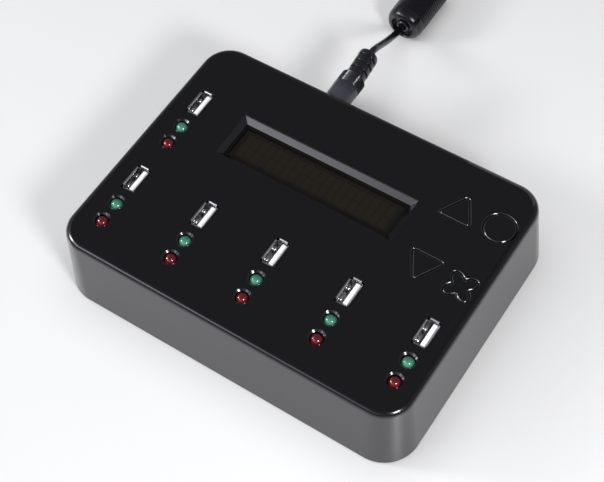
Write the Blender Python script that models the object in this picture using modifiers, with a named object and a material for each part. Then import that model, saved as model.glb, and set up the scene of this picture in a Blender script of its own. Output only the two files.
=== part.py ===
"""USB flash drive duplicator: a source socket, five copy sockets, their lamps, four keys and a display.

Metres, +Z up. The origin is on the table under the middle of the body, +X runs along the row of copy
sockets in the reading direction of the display, and +Y points away from the user.
"""

import math

import bmesh
import bpy
from mathutils import Matrix, Vector

# Fits
GAP = 0.0003  # between pieces that touch
OVERRUN = 0.002  # how far a cut runs past a face
SINK = 0.0004  # how far a joined shape runs into its carrier

# Body. The walls lean out from the top face down to the table
HEIGHT = 0.0368
DRAFT_X = 0.0026
DRAFT_Y = 0.0038
CORNER_RADIUS = 0.0132
EDGE_RADIUS = 0.0021
WALL = 0.0025
CORNER_STEPS = 10
EDGE_STEPS = 4

# Layout of the top face, from left to right
LEFT_MARGIN = 0.0128  # edge to the source socket
SOURCE_TO_WINDOW = 0.0206
WINDOW_WIDTH = 0.0812  # clear width of the display window
WINDOW_DEPTH = 0.0177
BEVEL_INSET = 0.0022
WINDOW_TO_KEYS = 0.0171
KEY_STEP_X = 0.0178
RIGHT_MARGIN = 0.0099
LAST_PORT_MARGIN = 0.0106
PORTS_IN_ROW = 5

# Layout of the top face, from front to back
FRONT_MARGIN = 0.0162  # edge to the red lamps
LAMP_STEP = 0.0099
LAMP_TO_SOCKET = 0.0137
SOURCE_STEP = 0.0461  # row of sockets to the source socket
ROW_TO_WINDOW = 0.0288
ROW_TO_KEYS = 0.0245
KEY_STEP_Y = 0.0317
KEYS_TO_BACK = 0.0237

# Socket
SOCKET_LENGTH = 0.0121
SOCKET_WIDTH = 0.0056
SOCKET_HEIGHT = 0.0140
SHEET = 0.00028
LIP_FLARE = 0.0006
LIP_RISE = 0.00065
LIP_PROUD = 0.0003  # how far the lips stand above the top face
MOUTH_CLEARANCE = 0.0007
LIP_END_GAP = 0.0009
FINGER_WIDTH = 0.0020
FINGER_STEP = 0.0058
FINGER_DEPTH = 0.0075
FINGER_BULGE = 0.0010
FINGER_TIP = 0.0016
TONGUE_THICKNESS = 0.0021
TONGUE_LENGTH = 0.0106
TONGUE_RECESS = 0.0006
TONGUE_EDGE = 0.0004
TONGUE_BASE = 0.0042

# Lamp
LAMP_RADIUS = 0.0025
LAMP_PROUD = 0.0005
LAMP_STRAIGHT = 0.0048
FLANGE_RIM = 0.0004
FLANGE_THICKNESS = 0.0010
LEAD_SIDE = 0.0005
LEAD_STEP = 0.00254
LAMP_WELL_RIM = 0.00095  # how much wider the well is at the top face
LAMP_WELL_DEPTH = 0.0012
LAMP_SIDES = 16
DOME_STEPS = 5

# Keys and their switches
KEY_TRAVEL = 0.0005
KEY_CLEARANCE = 0.00035
KEY_EDGE = 0.00035
KEY_RADIUS = 0.0066
TRIANGLE_REACH = 0.00745  # middle of the triangle to its rounded points
TRIANGLE_ROUND = 0.00085
LOBE_REACH = 0.00705
LOBE_WAIST = 0.0034
LOBE_POINTS = 40
LOBE_SHAPE_share = 0.75  # below 1 the lobes are blunter
KEY_FLANGE = 0.0005
KEY_FLANGE_THICKNESS = 0.0010
STEM_RADIUS = 0.0024
SWITCH_SIDE = 0.0062
SWITCH_HEIGHT = 0.0035
SWITCH_FLOOR = 0.0008
PLUNGER_RADIUS = 0.0017
PLUNGER_PROUD = 0.0028

# Main board, its chip, and the screws that clamp it
BOARD_THICKNESS = 0.0016
BOARD_CLEARANCE = 0.0006
BOSS_RADIUS = 0.0038
PILOT_RADIUS = 0.0015
PILOT_DEPTH = 0.0065
SCREW_RADIUS = 0.0012
SCREW_HEAD_RADIUS = 0.0024
SCREW_HEAD_HEIGHT = 0.0016
SCREW_SLOT = 0.0006
SCREW_SLOT_share = 1.3  # of the head's radius
SCREW_CROWN_share = 0.6
SCREW_FACE_share = 0.75
POST_TOP = 0.0022  # material between the screw head and the board
CHIP_SIDE = 0.0140
CHIP_HEIGHT = 0.0014

# Bottom cover and feet
COVER_THICKNESS = 0.0022
FOOT_PROUD = 0.0006
FOOT_RADIUS = 0.0055
FOOT_SEAT = 0.0009
FOOT_EDGE = 0.0004

# Display under the window
BEZEL_RIM = 0.0042  # bezel beyond the clear window
BEZEL_SHEET = 0.0008
BEZEL_LAP = 0.0008  # how far the bezel shows inside the opening
DISPLAY_BOARD_RIM = 0.0032
GLASS_THICKNESS = 0.0022
HEADER_LENGTH = 0.0406
HEADER_WIDTH = 0.0025
HEADER_HEIGHT = 0.0026

# Power jack and the moulded plug with its strain relief
JACK_FROM_LEFT = 0.0591
JACK_WIDTH = 0.0090
JACK_LENGTH = 0.0125
JACK_BORE = 0.0031
JACK_BORE_DEPTH = 0.0100
JACK_PIN = 0.00095
WALL_HOLE = 0.0033
SEAT_RADIUS = 0.0060  # flat seat for the plug in the leaning back wall
SEAT_WALL = 0.0012
PLUG_RADIUS = 0.0056
PLUG_FLARE = 0.0003
PLUG_LENGTH = 0.0168
PLUG_EDGE = 0.0006
PLUG_BAND = 0.0058  # grooved part of the plug
PLUG_GROOVES = 8
PLUG_GROOVE = 0.00025
SLEEVE_RADIUS = 0.00275
SLEEVE_LENGTH = 0.0095
SLEEVE_BORE = 0.00125
RELIEF_RADIUS = 0.0047
RELIEF_LENGTH = 0.0152
RELIEF_RINGS = 4
RELIEF_GROOVE = 0.0007
RELIEF_BEND = 0.0012  # the lead pulls the relief's end this far to the left

# Lead, its ferrite core and its coil
LEAD_RADIUS = 0.00165
LEAD_POINT_STEP = 0.0078
LEAD_START = 0.0008  # clear of the relief, because the lead leaves it at a slant
FERRITE_RADIUS = 0.0089
FERRITE_LENGTH = 0.0320
FERRITE_DOME = 0.0042
FERRITE_FRONT = 0.1273
FERRITE_X = -0.0288
FERRITE_RIB = 0.0003
FERRITE_RIBS = 14
FERRITE_END_BAND = 0.0030
FERRITE_FACE_share = 0.55  # flat part of an end face
COIL_RADIUS = 0.0190  # at the middle of its turns
COIL_PITCH = 0.00385
COIL_Y = 0.1980
TURNS_IN = 4.25
TURNS_OUT = 4.5
POINTS_A_TURN = 24

# Power adapter at the far end
ADAPTER_LENGTH = 0.0480
ADAPTER_WIDTH = 0.0380
ADAPTER_HEIGHT = 0.0230
ADAPTER_EDGE = 0.0025
GLAND_LENGTH = 0.0100
GLAND_RADIUS = 0.0036
GLAND_END = 0.0024
BLADE_LENGTH = 0.0160
BLADE_WIDTH = 0.0063
BLADE_THICKNESS = 0.0015
BLADE_STEP = 0.0127
TAIL_RUN = 0.0260

# Sizes that follow from the ones above
WINDOW_SPAN = WINDOW_WIDTH + 2 * BEVEL_INSET
TOP_WIDTH = LEFT_MARGIN + SOURCE_TO_WINDOW + WINDOW_SPAN + WINDOW_TO_KEYS + KEY_STEP_X + RIGHT_MARGIN
TOP_DEPTH = FRONT_MARGIN + LAMP_STEP + LAMP_TO_SOCKET + ROW_TO_KEYS + KEY_STEP_Y + KEYS_TO_BACK
BODY_HEIGHT = HEIGHT - FOOT_PROUD
LEFT = -TOP_WIDTH / 2
FRONT = -TOP_DEPTH / 2
PORT_PITCH = (TOP_WIDTH - LEFT_MARGIN - LAST_PORT_MARGIN) / (PORTS_IN_ROW - 1)
RED_Y = FRONT + FRONT_MARGIN
ROW_Y = RED_Y + LAMP_STEP + LAMP_TO_SOCKET
WINDOW_X = LEFT + LEFT_MARGIN + SOURCE_TO_WINDOW + BEVEL_INSET + WINDOW_WIDTH / 2
WINDOW_Y = ROW_Y + ROW_TO_WINDOW + BEVEL_INSET + WINDOW_DEPTH / 2
KEY_X = LEFT + TOP_WIDTH - RIGHT_MARGIN - KEY_STEP_X
KEY_Y = ROW_Y + ROW_TO_KEYS
INNER_TOP = HEIGHT - WALL
BOARD_TOP = HEIGHT - SOCKET_HEIGHT
BOARD_BOTTOM = BOARD_TOP - BOARD_THICKNESS
SEAT_TOP = BOARD_TOP + GAP  # where a piece on the main board starts
COVER_TOP = FOOT_PROUD + COVER_THICKNESS
JACK_HEIGHT = INNER_TOP - GAP - SEAT_TOP
JACK_X = LEFT + JACK_FROM_LEFT
JACK_Z = SEAT_TOP + JACK_HEIGHT / 2
COIL_LOW = LEAD_RADIUS
COIL_OUTER = COIL_RADIUS + COIL_PITCH * TURNS_IN / 2
COIL_X = FERRITE_X - COIL_OUTER

parts = bpy.data.collections.new("usb_duplicator")
cutters = bpy.data.collections.new("cutters")


def clear_scene():
    for thing in list(bpy.data.objects):
        bpy.data.objects.remove(thing)
    for collection in (parts, cutters):
        bpy.context.scene.collection.children.link(collection)


def half_size_at(z):
    """Half the width and half the depth over the walls at height z."""
    share = (HEIGHT - z) / BODY_HEIGHT
    return TOP_WIDTH / 2 + DRAFT_X * share, TOP_DEPTH / 2 + DRAFT_Y * share


def column_x(column):
    return LEFT + LEFT_MARGIN + PORT_PITCH * column


def material(name, colour, roughness, metallic=0.0):
    made = bpy.data.materials.new(name)
    made.use_nodes = True
    shader = made.node_tree.nodes["Principled BSDF"]
    shader.inputs["Base Color"].default_value = (*colour, 1)
    shader.inputs["Roughness"].default_value = roughness
    shader.inputs["Metallic"].default_value = metallic
    made.diffuse_color = (*colour, 1)
    return made


def add(name, mesh, finish=None, location=(0, 0, 0), parent=None):
    """A piece of the object, or a cutter if it has no finish."""
    thing = bpy.data.objects.new(name, mesh)
    thing.location = location
    if finish is None:
        thing.hide_render = True
        thing.display_type = "WIRE"
        cutters.objects.link(thing)
        return thing
    parts.objects.link(thing)
    if not mesh.materials:
        mesh.materials.append(None)
    thing.material_slots[0].link = "OBJECT"
    thing.material_slots[0].material = finish
    thing.parent = parent
    return thing


def mesh_from(bm, name):
    bmesh.ops.recalc_face_normals(bm, faces=bm.faces)
    if sum(f.calc_area() * f.normal.dot(f.calc_center_median()) for f in bm.faces) < 0:
        bmesh.ops.reverse_faces(bm, faces=bm.faces)
    mesh = bpy.data.meshes.new(name)
    bm.to_mesh(mesh)
    bm.free()
    mesh.shade_smooth()
    mesh.set_sharp_from_angle(angle=math.radians(35))
    return mesh


def block(name, size, centre=(0, 0, 0), edge=0, steps=1, upright_only=False):
    """A box mesh, its edges rounded where edge is given."""
    bm = bmesh.new()
    bmesh.ops.create_cube(bm, size=1, matrix=Matrix.Translation(centre) @ Matrix.Diagonal((*size, 1)))
    if edge:
        chosen = list(bm.edges)
        if upright_only:
            chosen = [e for e in bm.edges if e.verts[0].co.xy == e.verts[1].co.xy]
        bmesh.ops.bevel(bm, geom=chosen, offset=edge, segments=steps, profile=0.5, affect="EDGES")
    return mesh_from(bm, name)


def round_bar(name, radius, bottom, top, sides=16, top_radius=None):
    """An upright cylinder or cone between two heights."""
    bm = bmesh.new()
    middle = Matrix.Translation((0, 0, (bottom + top) / 2))
    bmesh.ops.create_cone(
        bm,
        cap_ends=True,
        segments=sides,
        radius1=radius,
        radius2=radius if top_radius is None else top_radius,
        depth=top - bottom,
        matrix=middle,
    )
    return mesh_from(bm, name)


def turned(name, profile, steps):
    """A solid of revolution about Z. The profile's points are radius and height, from the top down."""
    points = list(profile)
    mesh = bpy.data.meshes.new(name)
    mesh.from_pydata([(r, 0, z) for r, z in points], [(i, i + 1) for i in range(len(points) - 1)], [])
    thing = bpy.data.objects.new(name, mesh)
    cutters.objects.link(thing)
    screw = thing.modifiers.new("turn", "SCREW")
    screw.steps = steps
    screw.render_steps = steps
    screw.use_merge_vertices = True
    screw.merge_threshold = GAP / 10
    return bake(thing)


def bake(thing):
    """The object's evaluated mesh, with the object itself removed."""
    bpy.context.view_layer.update()
    graph = bpy.context.evaluated_depsgraph_get()
    mesh = bpy.data.meshes.new_from_object(thing.evaluated_get(graph))
    mesh.name = thing.name
    bpy.data.objects.remove(thing)
    bm = bmesh.new()
    bm.from_mesh(mesh)
    bmesh.ops.remove_doubles(bm, verts=bm.verts, dist=GAP / 100)
    bmesh.ops.recalc_face_normals(bm, faces=bm.faces)
    bm.to_mesh(mesh)
    bm.free()
    mesh.shade_smooth()
    mesh.set_sharp_from_angle(angle=math.radians(35))
    return mesh


def combine(thing, operation, *others):
    for other in others:
        step = thing.modifiers.new(operation.lower(), "BOOLEAN")
        step.operation = operation
        step.object = other
    return thing


def fused(name, first, *others):
    """One closed mesh from meshes that run into each other."""
    thing = add(name, first)
    helpers = [add(f"{name}_join_{i}", other) for i, other in enumerate(others)]
    combine(thing, "UNION", *helpers)
    mesh = bake(thing)
    for helper in helpers:
        bpy.data.objects.remove(helper)
    return mesh


def less(name, first, *others):
    """The first mesh with the others cut out of it."""
    thing = add(name, first)
    helpers = [add(f"{name}_cut_{i}", other) for i, other in enumerate(others)]
    combine(thing, "DIFFERENCE", *helpers)
    mesh = bake(thing)
    for helper in helpers:
        bpy.data.objects.remove(helper)
    return mesh


def shifted(mesh, *offset):
    moved = mesh.copy()
    moved.transform(Matrix.Translation(offset))
    return moved


def prism(name, outline, bottom, top, edge=0):
    """A flat outline given height, with its top edge rounded where edge is given."""
    curve = bpy.data.curves.new(name, "CURVE")
    curve.dimensions = "2D"
    curve.fill_mode = "BOTH"
    curve.extrude = (top - bottom) / 2
    spline = curve.splines.new("POLY")
    spline.points.add(len(outline) - 1)
    for point, (x, y) in zip(spline.points, outline):
        point.co = (x, y, 0, 1)
    spline.use_cyclic_u = True
    thing = bpy.data.objects.new(name, curve)
    cutters.objects.link(thing)
    mesh = bake(thing)
    mesh.transform(Matrix.Translation((0, 0, (bottom + top) / 2)))
    if edge:
        bm = bmesh.new()
        bm.from_mesh(mesh)
        bmesh.ops.dissolve_limit(bm, angle_limit=math.radians(1), verts=bm.verts, edges=bm.edges)
        rim = [e for e in bm.edges if min(v.co.z for v in e.verts) > top - GAP / 10]
        bmesh.ops.bevel(bm, geom=rim, offset=edge, segments=2, profile=0.5, affect="EDGES")
        mesh = mesh_from(bm, name)
    return mesh


def rounded_triangle(reach, corner, pointing, grow=0):
    """Points of a triangle with round corners, centred on its height. Grow moves the sides out."""
    corner_radius = corner + grow
    centre_reach = reach - corner
    drop = -math.sin(pointing) * centre_reach / 4
    points = []
    for k in range(3):
        aim = pointing + k * 2 * math.pi / 3
        for step in range(-3, 4):
            turn = aim + step / 3 * math.pi / 3
            points.append(
                (
                    centre_reach * math.cos(aim) + corner_radius * math.cos(turn),
                    drop + centre_reach * math.sin(aim) + corner_radius * math.sin(turn),
                )
            )
    return points


def ring_points(radius, count=32):
    return [
        (radius * math.cos(2 * math.pi * k / count), radius * math.sin(2 * math.pi * k / count))
        for k in range(count)
    ]


def four_lobes(reach, waist, grow=0):
    """Points of a cross with four round lobes on the diagonals and hollow sides."""
    points = []
    for k in range(LOBE_POINTS):
        turn = 2 * math.pi * k / LOBE_POINTS
        share = max(0, (1 - math.cos(4 * turn)) / 2) ** LOBE_SHAPE_share
        radius = waist + (reach - waist) * share + grow
        points.append((radius * math.cos(turn), radius * math.sin(turn)))
    return points


def key_outlines(grow=0):
    """Name, place and outline of each key. Grow widens the outline, as for the hole round the key."""
    up = rounded_triangle(TRIANGLE_REACH, TRIANGLE_ROUND, math.pi / 2, grow)
    down = rounded_triangle(TRIANGLE_REACH, TRIANGLE_ROUND, -math.pi / 2, grow)
    return (
        ("up_key", (KEY_X, KEY_Y + KEY_STEP_Y), up),
        ("round_key", (KEY_X + KEY_STEP_X, KEY_Y + KEY_STEP_Y), ring_points(KEY_RADIUS + grow)),
        ("down_key", (KEY_X, KEY_Y), down),
        ("cross_key", (KEY_X + KEY_STEP_X, KEY_Y), four_lobes(LOBE_REACH, LOBE_WAIST, grow)),
    )


def port_places():
    """Name suffix and place of each socket: the source socket, then the row of copies."""
    places = [("source", (column_x(0), ROW_Y + SOURCE_STEP))]
    for column in range(PORTS_IN_ROW):
        places.append((f"copy_{column + 1}", (column_x(column), ROW_Y)))
    return places


def boss_places():
    """Between the outer columns of sockets, against the front and back walls."""
    inner = half_size_at(BOARD_TOP)[1] - WALL - BOARD_CLEARANCE - BOSS_RADIUS
    left = (column_x(0) + column_x(1)) / 2
    right = (column_x(PORTS_IN_ROW - 2) + column_x(PORTS_IN_ROW - 1)) / 2
    return [(x, y) for y in (-inner, inner) for x in (left, right)]


def foot_places():
    wide, deep = half_size_at(COVER_TOP)
    x = wide - WALL - CORNER_RADIUS - FOOT_RADIUS / 2
    y = deep - WALL - CORNER_RADIUS - FOOT_RADIUS / 2
    return [(sx * x, sy * y) for sy in (-1, 1) for sx in (-1, 1)]


def drafted_body(inset, bottom, top, corner):
    """A block that follows the leaning walls at a distance, with round corners."""
    bm = bmesh.new()
    bmesh.ops.create_cube(bm, size=2)
    for vert in bm.verts:
        z = top if vert.co.z > 0 else bottom
        wide, deep = half_size_at(z)
        vert.co = (vert.co.x * (wide - inset), vert.co.y * (deep - inset), z)
    upright = [e for e in bm.edges if abs(e.verts[0].co.z - e.verts[1].co.z) > GAP]
    bmesh.ops.bevel(bm, geom=upright, offset=corner, segments=CORNER_STEPS, profile=0.5, affect="EDGES")
    return bm


def make_top_shell(finish):
    bm = drafted_body(0, FOOT_PROUD, HEIGHT, CORNER_RADIUS)
    rim = [e for e in bm.edges if min(v.co.z for v in e.verts) > HEIGHT - GAP]
    bmesh.ops.bevel(bm, geom=rim, offset=EDGE_RADIUS, segments=EDGE_STEPS, profile=0.5, affect="EDGES")
    shell = add("top_shell", mesh_from(bm, "top_shell"), finish)
    cavity = drafted_body(WALL, FOOT_PROUD - OVERRUN, INNER_TOP, CORNER_RADIUS - WALL)
    combine(shell, "DIFFERENCE", add("cavity", mesh_from(cavity, "cavity")))
    boss = round_bar("boss", BOSS_RADIUS, SEAT_TOP, INNER_TOP + SINK)
    bosses = [add(f"boss_{i}", boss, None, (x, y, 0)) for i, (x, y) in enumerate(boss_places())]
    combine(shell, "UNION", *bosses)
    combine(shell, "DIFFERENCE", *shell_cutters())
    return shell


def shell_cutters():
    """Everything that is cut out of the top shell."""
    found = []
    pilot = round_bar("pilot", PILOT_RADIUS, SEAT_TOP - OVERRUN, SEAT_TOP + PILOT_DEPTH)
    for i, (x, y) in enumerate(boss_places()):
        found.append(add(f"pilot_{i}", pilot, None, (x, y, 0)))
    mouth = block(
        "socket_mouth",
        (SOCKET_WIDTH + 2 * MOUTH_CLEARANCE, SOCKET_LENGTH + 2 * MOUTH_CLEARANCE, WALL + 2 * OVERRUN),
        (0, 0, HEIGHT - WALL / 2),
    )
    well = lamp_well()
    for name, (x, y) in port_places():
        found.append(add(f"mouth_{name}", mouth, None, (x, y, 0)))
        for colour, shift in (("green", LAMP_TO_SOCKET), ("red", LAMP_TO_SOCKET + LAMP_STEP)):
            found.append(add(f"well_{colour}_{name}", well, None, (x, y - shift, 0)))
    for name, (x, y), outline in key_outlines(KEY_CLEARANCE):
        hole = prism(f"{name}_hole", outline, INNER_TOP - OVERRUN, HEIGHT + OVERRUN)
        found.append(add(f"{name}_hole", hole, None, (x, y, 0)))
    found.append(add("window_cut", window_cut(), None, (WINDOW_X, WINDOW_Y, 0)))
    found.extend(back_wall_cuts())
    return found


def lamp_well():
    """A straight hole that opens out towards the top face."""
    straight = LAMP_RADIUS + GAP
    slope = LAMP_WELL_RIM / LAMP_WELL_DEPTH
    profile = [
        (0, HEIGHT + OVERRUN),
        (straight + LAMP_WELL_RIM + slope * OVERRUN, HEIGHT + OVERRUN),
        (straight, HEIGHT - LAMP_WELL_DEPTH),
        (straight, INNER_TOP - OVERRUN),
        (0, INNER_TOP - OVERRUN),
    ]
    return turned("lamp_well", profile, LAMP_SIDES)


def window_cut():
    """A rectangular funnel through the top, as deep as the wall."""
    bm = bmesh.new()
    bmesh.ops.create_cube(bm, size=2)
    slope = BEVEL_INSET / WALL
    for vert in bm.verts:
        upper = vert.co.z > 0
        out = BEVEL_INSET + slope * OVERRUN if upper else -slope * OVERRUN
        vert.co = (
            vert.co.x * (WINDOW_WIDTH / 2 + out),
            vert.co.y * (WINDOW_DEPTH / 2 + out),
            HEIGHT + OVERRUN if upper else INNER_TOP - OVERRUN,
        )
    return mesh_from(bm, "window_cut")


def back_wall_cuts():
    """The hole for the plug's sleeve and the flat seat for its face."""
    seat_face = half_size_at(JACK_Z)[1] - WALL + SEAT_WALL
    turn = Matrix.Rotation(math.pi / 2, 4, "X")
    found = []
    for name, radius, start in (("sleeve_hole", WALL_HOLE, -WALL - OVERRUN), ("plug_seat", SEAT_RADIUS, 0)):
        mesh = round_bar(name, radius, -WALL - DRAFT_Y - OVERRUN, -start)
        mesh.transform(turn)
        found.append(add(name, mesh, None, (JACK_X, seat_face, JACK_Z)))
    return found


def make_bottom_cover(finish):
    corner = CORNER_RADIUS - WALL
    plate = drafted_body(WALL + GAP + wall_lean(), FOOT_PROUD, COVER_TOP, corner)
    cover = add("bottom_cover", mesh_from(plate, "bottom_cover"), finish)
    post_top = BOARD_BOTTOM - GAP
    post = round_bar("post", BOSS_RADIUS, COVER_TOP - SINK, post_top)
    shaft_low = post_top - POST_TOP - OVERRUN
    shaft = round_bar("post_shaft", SCREW_RADIUS + GAP, shaft_low, post_top + OVERRUN)
    well = round_bar("post_well", SCREW_HEAD_RADIUS + GAP, FOOT_PROUD - OVERRUN, post_top - POST_TOP)
    seat = round_bar("foot_seat", FOOT_RADIUS + GAP, FOOT_PROUD - OVERRUN, FOOT_PROUD + FOOT_SEAT + GAP)
    places = boss_places()
    combine(cover, "UNION", *[add(f"post_{i}", post, None, (x, y, 0)) for i, (x, y) in enumerate(places)])
    for i, (x, y) in enumerate(places):
        combine(cover, "DIFFERENCE", add(f"post_shaft_{i}", shaft, None, (x, y, 0)))
        combine(cover, "DIFFERENCE", add(f"post_well_{i}", well, None, (x, y, 0)))
    for i, (x, y) in enumerate(foot_places()):
        combine(cover, "DIFFERENCE", add(f"foot_seat_{i}", seat, None, (x, y, 0)))
    return cover


def wall_lean():
    """How far the inner face of the wall moves in over the cover's thickness."""
    return max(DRAFT_X, DRAFT_Y) * COVER_THICKNESS / BODY_HEIGHT


def make_feet(finish):
    top = FOOT_PROUD + FOOT_SEAT
    profile = [
        (0, top),
        (FOOT_RADIUS, top),
        (FOOT_RADIUS, FOOT_EDGE),
        (FOOT_RADIUS - FOOT_EDGE, 0),
        (0, 0),
    ]
    mesh = turned("foot", profile, 16)
    for i, (x, y) in enumerate(foot_places()):
        add(f"foot_{i + 1}", mesh, finish, (x, y, 0))


def make_screws(finish):
    """Pan heads low in the cover's posts, shanks through the board into the shell's bosses."""
    under_head = BOARD_BOTTOM - GAP - POST_TOP - GAP
    tip = SEAT_TOP + PILOT_DEPTH - GAP
    profile = [
        (0, tip),
        (SCREW_RADIUS, tip - SCREW_RADIUS),
        (SCREW_RADIUS, under_head),
        (SCREW_HEAD_RADIUS, under_head),
        (SCREW_HEAD_RADIUS, under_head - SCREW_HEAD_HEIGHT * SCREW_CROWN_share),
        (SCREW_HEAD_RADIUS * SCREW_FACE_share, under_head - SCREW_HEAD_HEIGHT),
        (0, under_head - SCREW_HEAD_HEIGHT),
    ]
    blank = turned("screw_blank", profile, 16)
    head_bottom = under_head - SCREW_HEAD_HEIGHT
    slot_length = SCREW_HEAD_RADIUS * SCREW_SLOT_share
    slots = [
        block("slot", (slot_length, SCREW_SLOT, 2 * SCREW_SLOT), (0, 0, head_bottom)),
        block("slot", (SCREW_SLOT, slot_length, 2 * SCREW_SLOT), (0, 0, head_bottom)),
    ]
    mesh = less("screw", blank, *slots)
    for i, (x, y) in enumerate(boss_places()):
        add(f"cover_screw_{i + 1}", mesh, finish, (x, y, 0))


def make_main_board(finish):
    wide, deep = half_size_at(BOARD_TOP)
    size = (2 * (wide - WALL - BOARD_CLEARANCE), 2 * (deep - WALL - BOARD_CLEARANCE), BOARD_THICKNESS)
    middle = (0, 0, BOARD_TOP - BOARD_THICKNESS / 2)
    mesh = block("main_board", size, middle, CORNER_RADIUS - WALL, 4, upright_only=True)
    board = add("main_board", mesh, finish)
    hole = round_bar("board_hole", SCREW_RADIUS + GAP, BOARD_BOTTOM - OVERRUN, BOARD_TOP + OVERRUN)
    for i, (x, y) in enumerate(boss_places()):
        combine(board, "DIFFERENCE", add(f"board_hole_{i}", hole, None, (x, y, 0)))
    return board


def make_chip(finish):
    top = BOARD_BOTTOM - GAP
    mesh = block("controller_chip", (CHIP_SIDE, CHIP_SIDE, CHIP_HEIGHT), (0, 0, top - CHIP_HEIGHT / 2))
    return add("controller_chip", mesh, finish, (WINDOW_X, WINDOW_Y, 0))


def socket_shell():
    """A sheet tube that stands on the board, with flared lips at its mouth and two spring fingers."""
    low = SEAT_TOP
    high = HEIGHT + LIP_PROUD - LIP_RISE
    half_x = SOCKET_WIDTH / 2
    half_y = SOCKET_LENGTH / 2
    bm = bmesh.new()
    bmesh.ops.create_cube(bm, size=2)
    for vert in bm.verts:
        vert.co = (vert.co.x * half_x, vert.co.y * half_y, high if vert.co.z > 0 else low)
    ends = [f for f in bm.faces if abs(f.normal.z) > 0.5]
    bmesh.ops.delete(bm, geom=ends, context="FACES_ONLY")
    for side_x, side_y in ((1, 0), (-1, 0), (0, 1), (0, -1)):
        run = (half_y if side_x else half_x) - LIP_END_GAP
        outward = Vector((side_x, side_y, 0))
        along = Vector((side_y, side_x, 0))
        for cut in (-run, run):
            walls = [f for f in bm.faces if f.normal.dot(outward) > 0.5]
            geom = walls + list({e for f in walls for e in f.edges})
            geom += list({v for f in walls for v in f.verts})
            bmesh.ops.bisect_plane(bm, geom=geom, plane_co=along * cut, plane_no=along, dist=GAP / 100)
        lip = [
            e
            for e in bm.edges
            if min(v.co.z for v in e.verts) > high - GAP / 10
            and abs((e.verts[0].co + e.verts[1].co).dot(along)) < GAP / 10
            and (e.verts[0].co + e.verts[1].co).dot(outward) > 0
        ]
        made = bmesh.ops.extrude_edge_only(bm, edges=lip)
        for vert in (v for v in made["geom"] if isinstance(v, bmesh.types.BMVert)):
            vert.co += outward * LIP_FLARE + Vector((0, 0, LIP_RISE))
    tube = add("socket_tube", mesh_from(bm, "socket_tube"))
    sheet = tube.modifiers.new("sheet", "SOLIDIFY")
    sheet.thickness = SHEET
    sheet.offset = -1
    sheet.use_even_offset = True
    return fused("usb_shell", bake(tube), *socket_fingers())


def socket_fingers():
    """Spring fingers bent in from the wall opposite the tongue."""
    wall = -SOCKET_WIDTH / 2 + SHEET / 2
    path = [
        (wall, HEIGHT - FINGER_DEPTH),
        (wall + FINGER_BULGE / 2, HEIGHT - (FINGER_DEPTH + FINGER_TIP) / 2),
        (wall + FINGER_BULGE + SHEET, HEIGHT - FINGER_TIP - SHEET),
        (wall + FINGER_BULGE / 2 + SHEET, HEIGHT - FINGER_TIP),
    ]
    found = []
    for side in (-1, 1):
        bm = bmesh.new()
        rows = []
        for edge in (-1, 1):
            y = side * FINGER_STEP / 2 + edge * FINGER_WIDTH / 2
            rows.append([bm.verts.new((x, y, z)) for x, z in path])
        for k in range(len(path) - 1):
            bm.faces.new((rows[0][k], rows[1][k], rows[1][k + 1], rows[0][k + 1]))
        strip = add("finger_strip", mesh_from(bm, "finger_strip"))
        sheet = strip.modifiers.new("sheet", "SOLIDIFY")
        sheet.thickness = SHEET
        sheet.offset = 0
        found.append(bake(strip))
    return found


def socket_tongue():
    """The insulator: a base that fills the shell and a tongue close to the wall on the right."""
    inner_x = SOCKET_WIDTH / 2 - SHEET - GAP
    inner_y = SOCKET_LENGTH / 2 - SHEET - GAP
    top = HEIGHT - TONGUE_RECESS
    base = block(
        "tongue_base", (2 * inner_x, 2 * inner_y, TONGUE_BASE), (0, 0, SEAT_TOP + TONGUE_BASE / 2)
    )
    low = SEAT_TOP + TONGUE_BASE - SINK
    tongue = block(
        "tongue_bar",
        (TONGUE_THICKNESS, TONGUE_LENGTH, top - low),
        (inner_x - TONGUE_THICKNESS / 2, 0, (top + low) / 2),
        TONGUE_EDGE,
    )
    return fused("usb_tongue", base, tongue)


def lamp():
    """A domed lamp body with its flange and two leads down to the board."""
    dome_top = HEIGHT + LAMP_PROUD
    dome_low = dome_top - LAMP_RADIUS
    flange_top = dome_low - LAMP_STRAIGHT
    flange_low = flange_top - FLANGE_THICKNESS
    profile = [(0, dome_top)]
    for k in range(1, DOME_STEPS + 1):
        turn = math.pi / 2 * k / DOME_STEPS
        profile.append((LAMP_RADIUS * math.sin(turn), dome_low + LAMP_RADIUS * math.cos(turn)))
    profile += [
        (LAMP_RADIUS, flange_top),
        (LAMP_RADIUS + FLANGE_RIM, flange_top),
        (LAMP_RADIUS + FLANGE_RIM, flange_low),
        (0, flange_low),
    ]
    body = turned("lamp_body", profile, LAMP_SIDES)
    high = flange_low + SINK
    lead = block("lead", (LEAD_SIDE, LEAD_SIDE, high - SEAT_TOP), (0, 0, (high + SEAT_TOP) / 2))
    return fused("lamp", body, shifted(lead, -LEAD_STEP / 2, 0, 0), shifted(lead, LEAD_STEP / 2, 0, 0))


def make_ports(finishes):
    shell = socket_shell()
    tongue = socket_tongue()
    lamp_mesh = lamp()
    for name, (x, y) in port_places():
        add(f"usb_shell_{name}", shell, finishes["nickel"], (x, y, 0))
        add(f"usb_tongue_{name}", tongue, finishes["insulator"], (x, y, 0))
        for colour, shift in (("green", LAMP_TO_SOCKET), ("red", LAMP_TO_SOCKET + LAMP_STEP)):
            add(f"{colour}_lamp_{name}", lamp_mesh, finishes[colour], (x, y - shift, 0))


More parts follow.
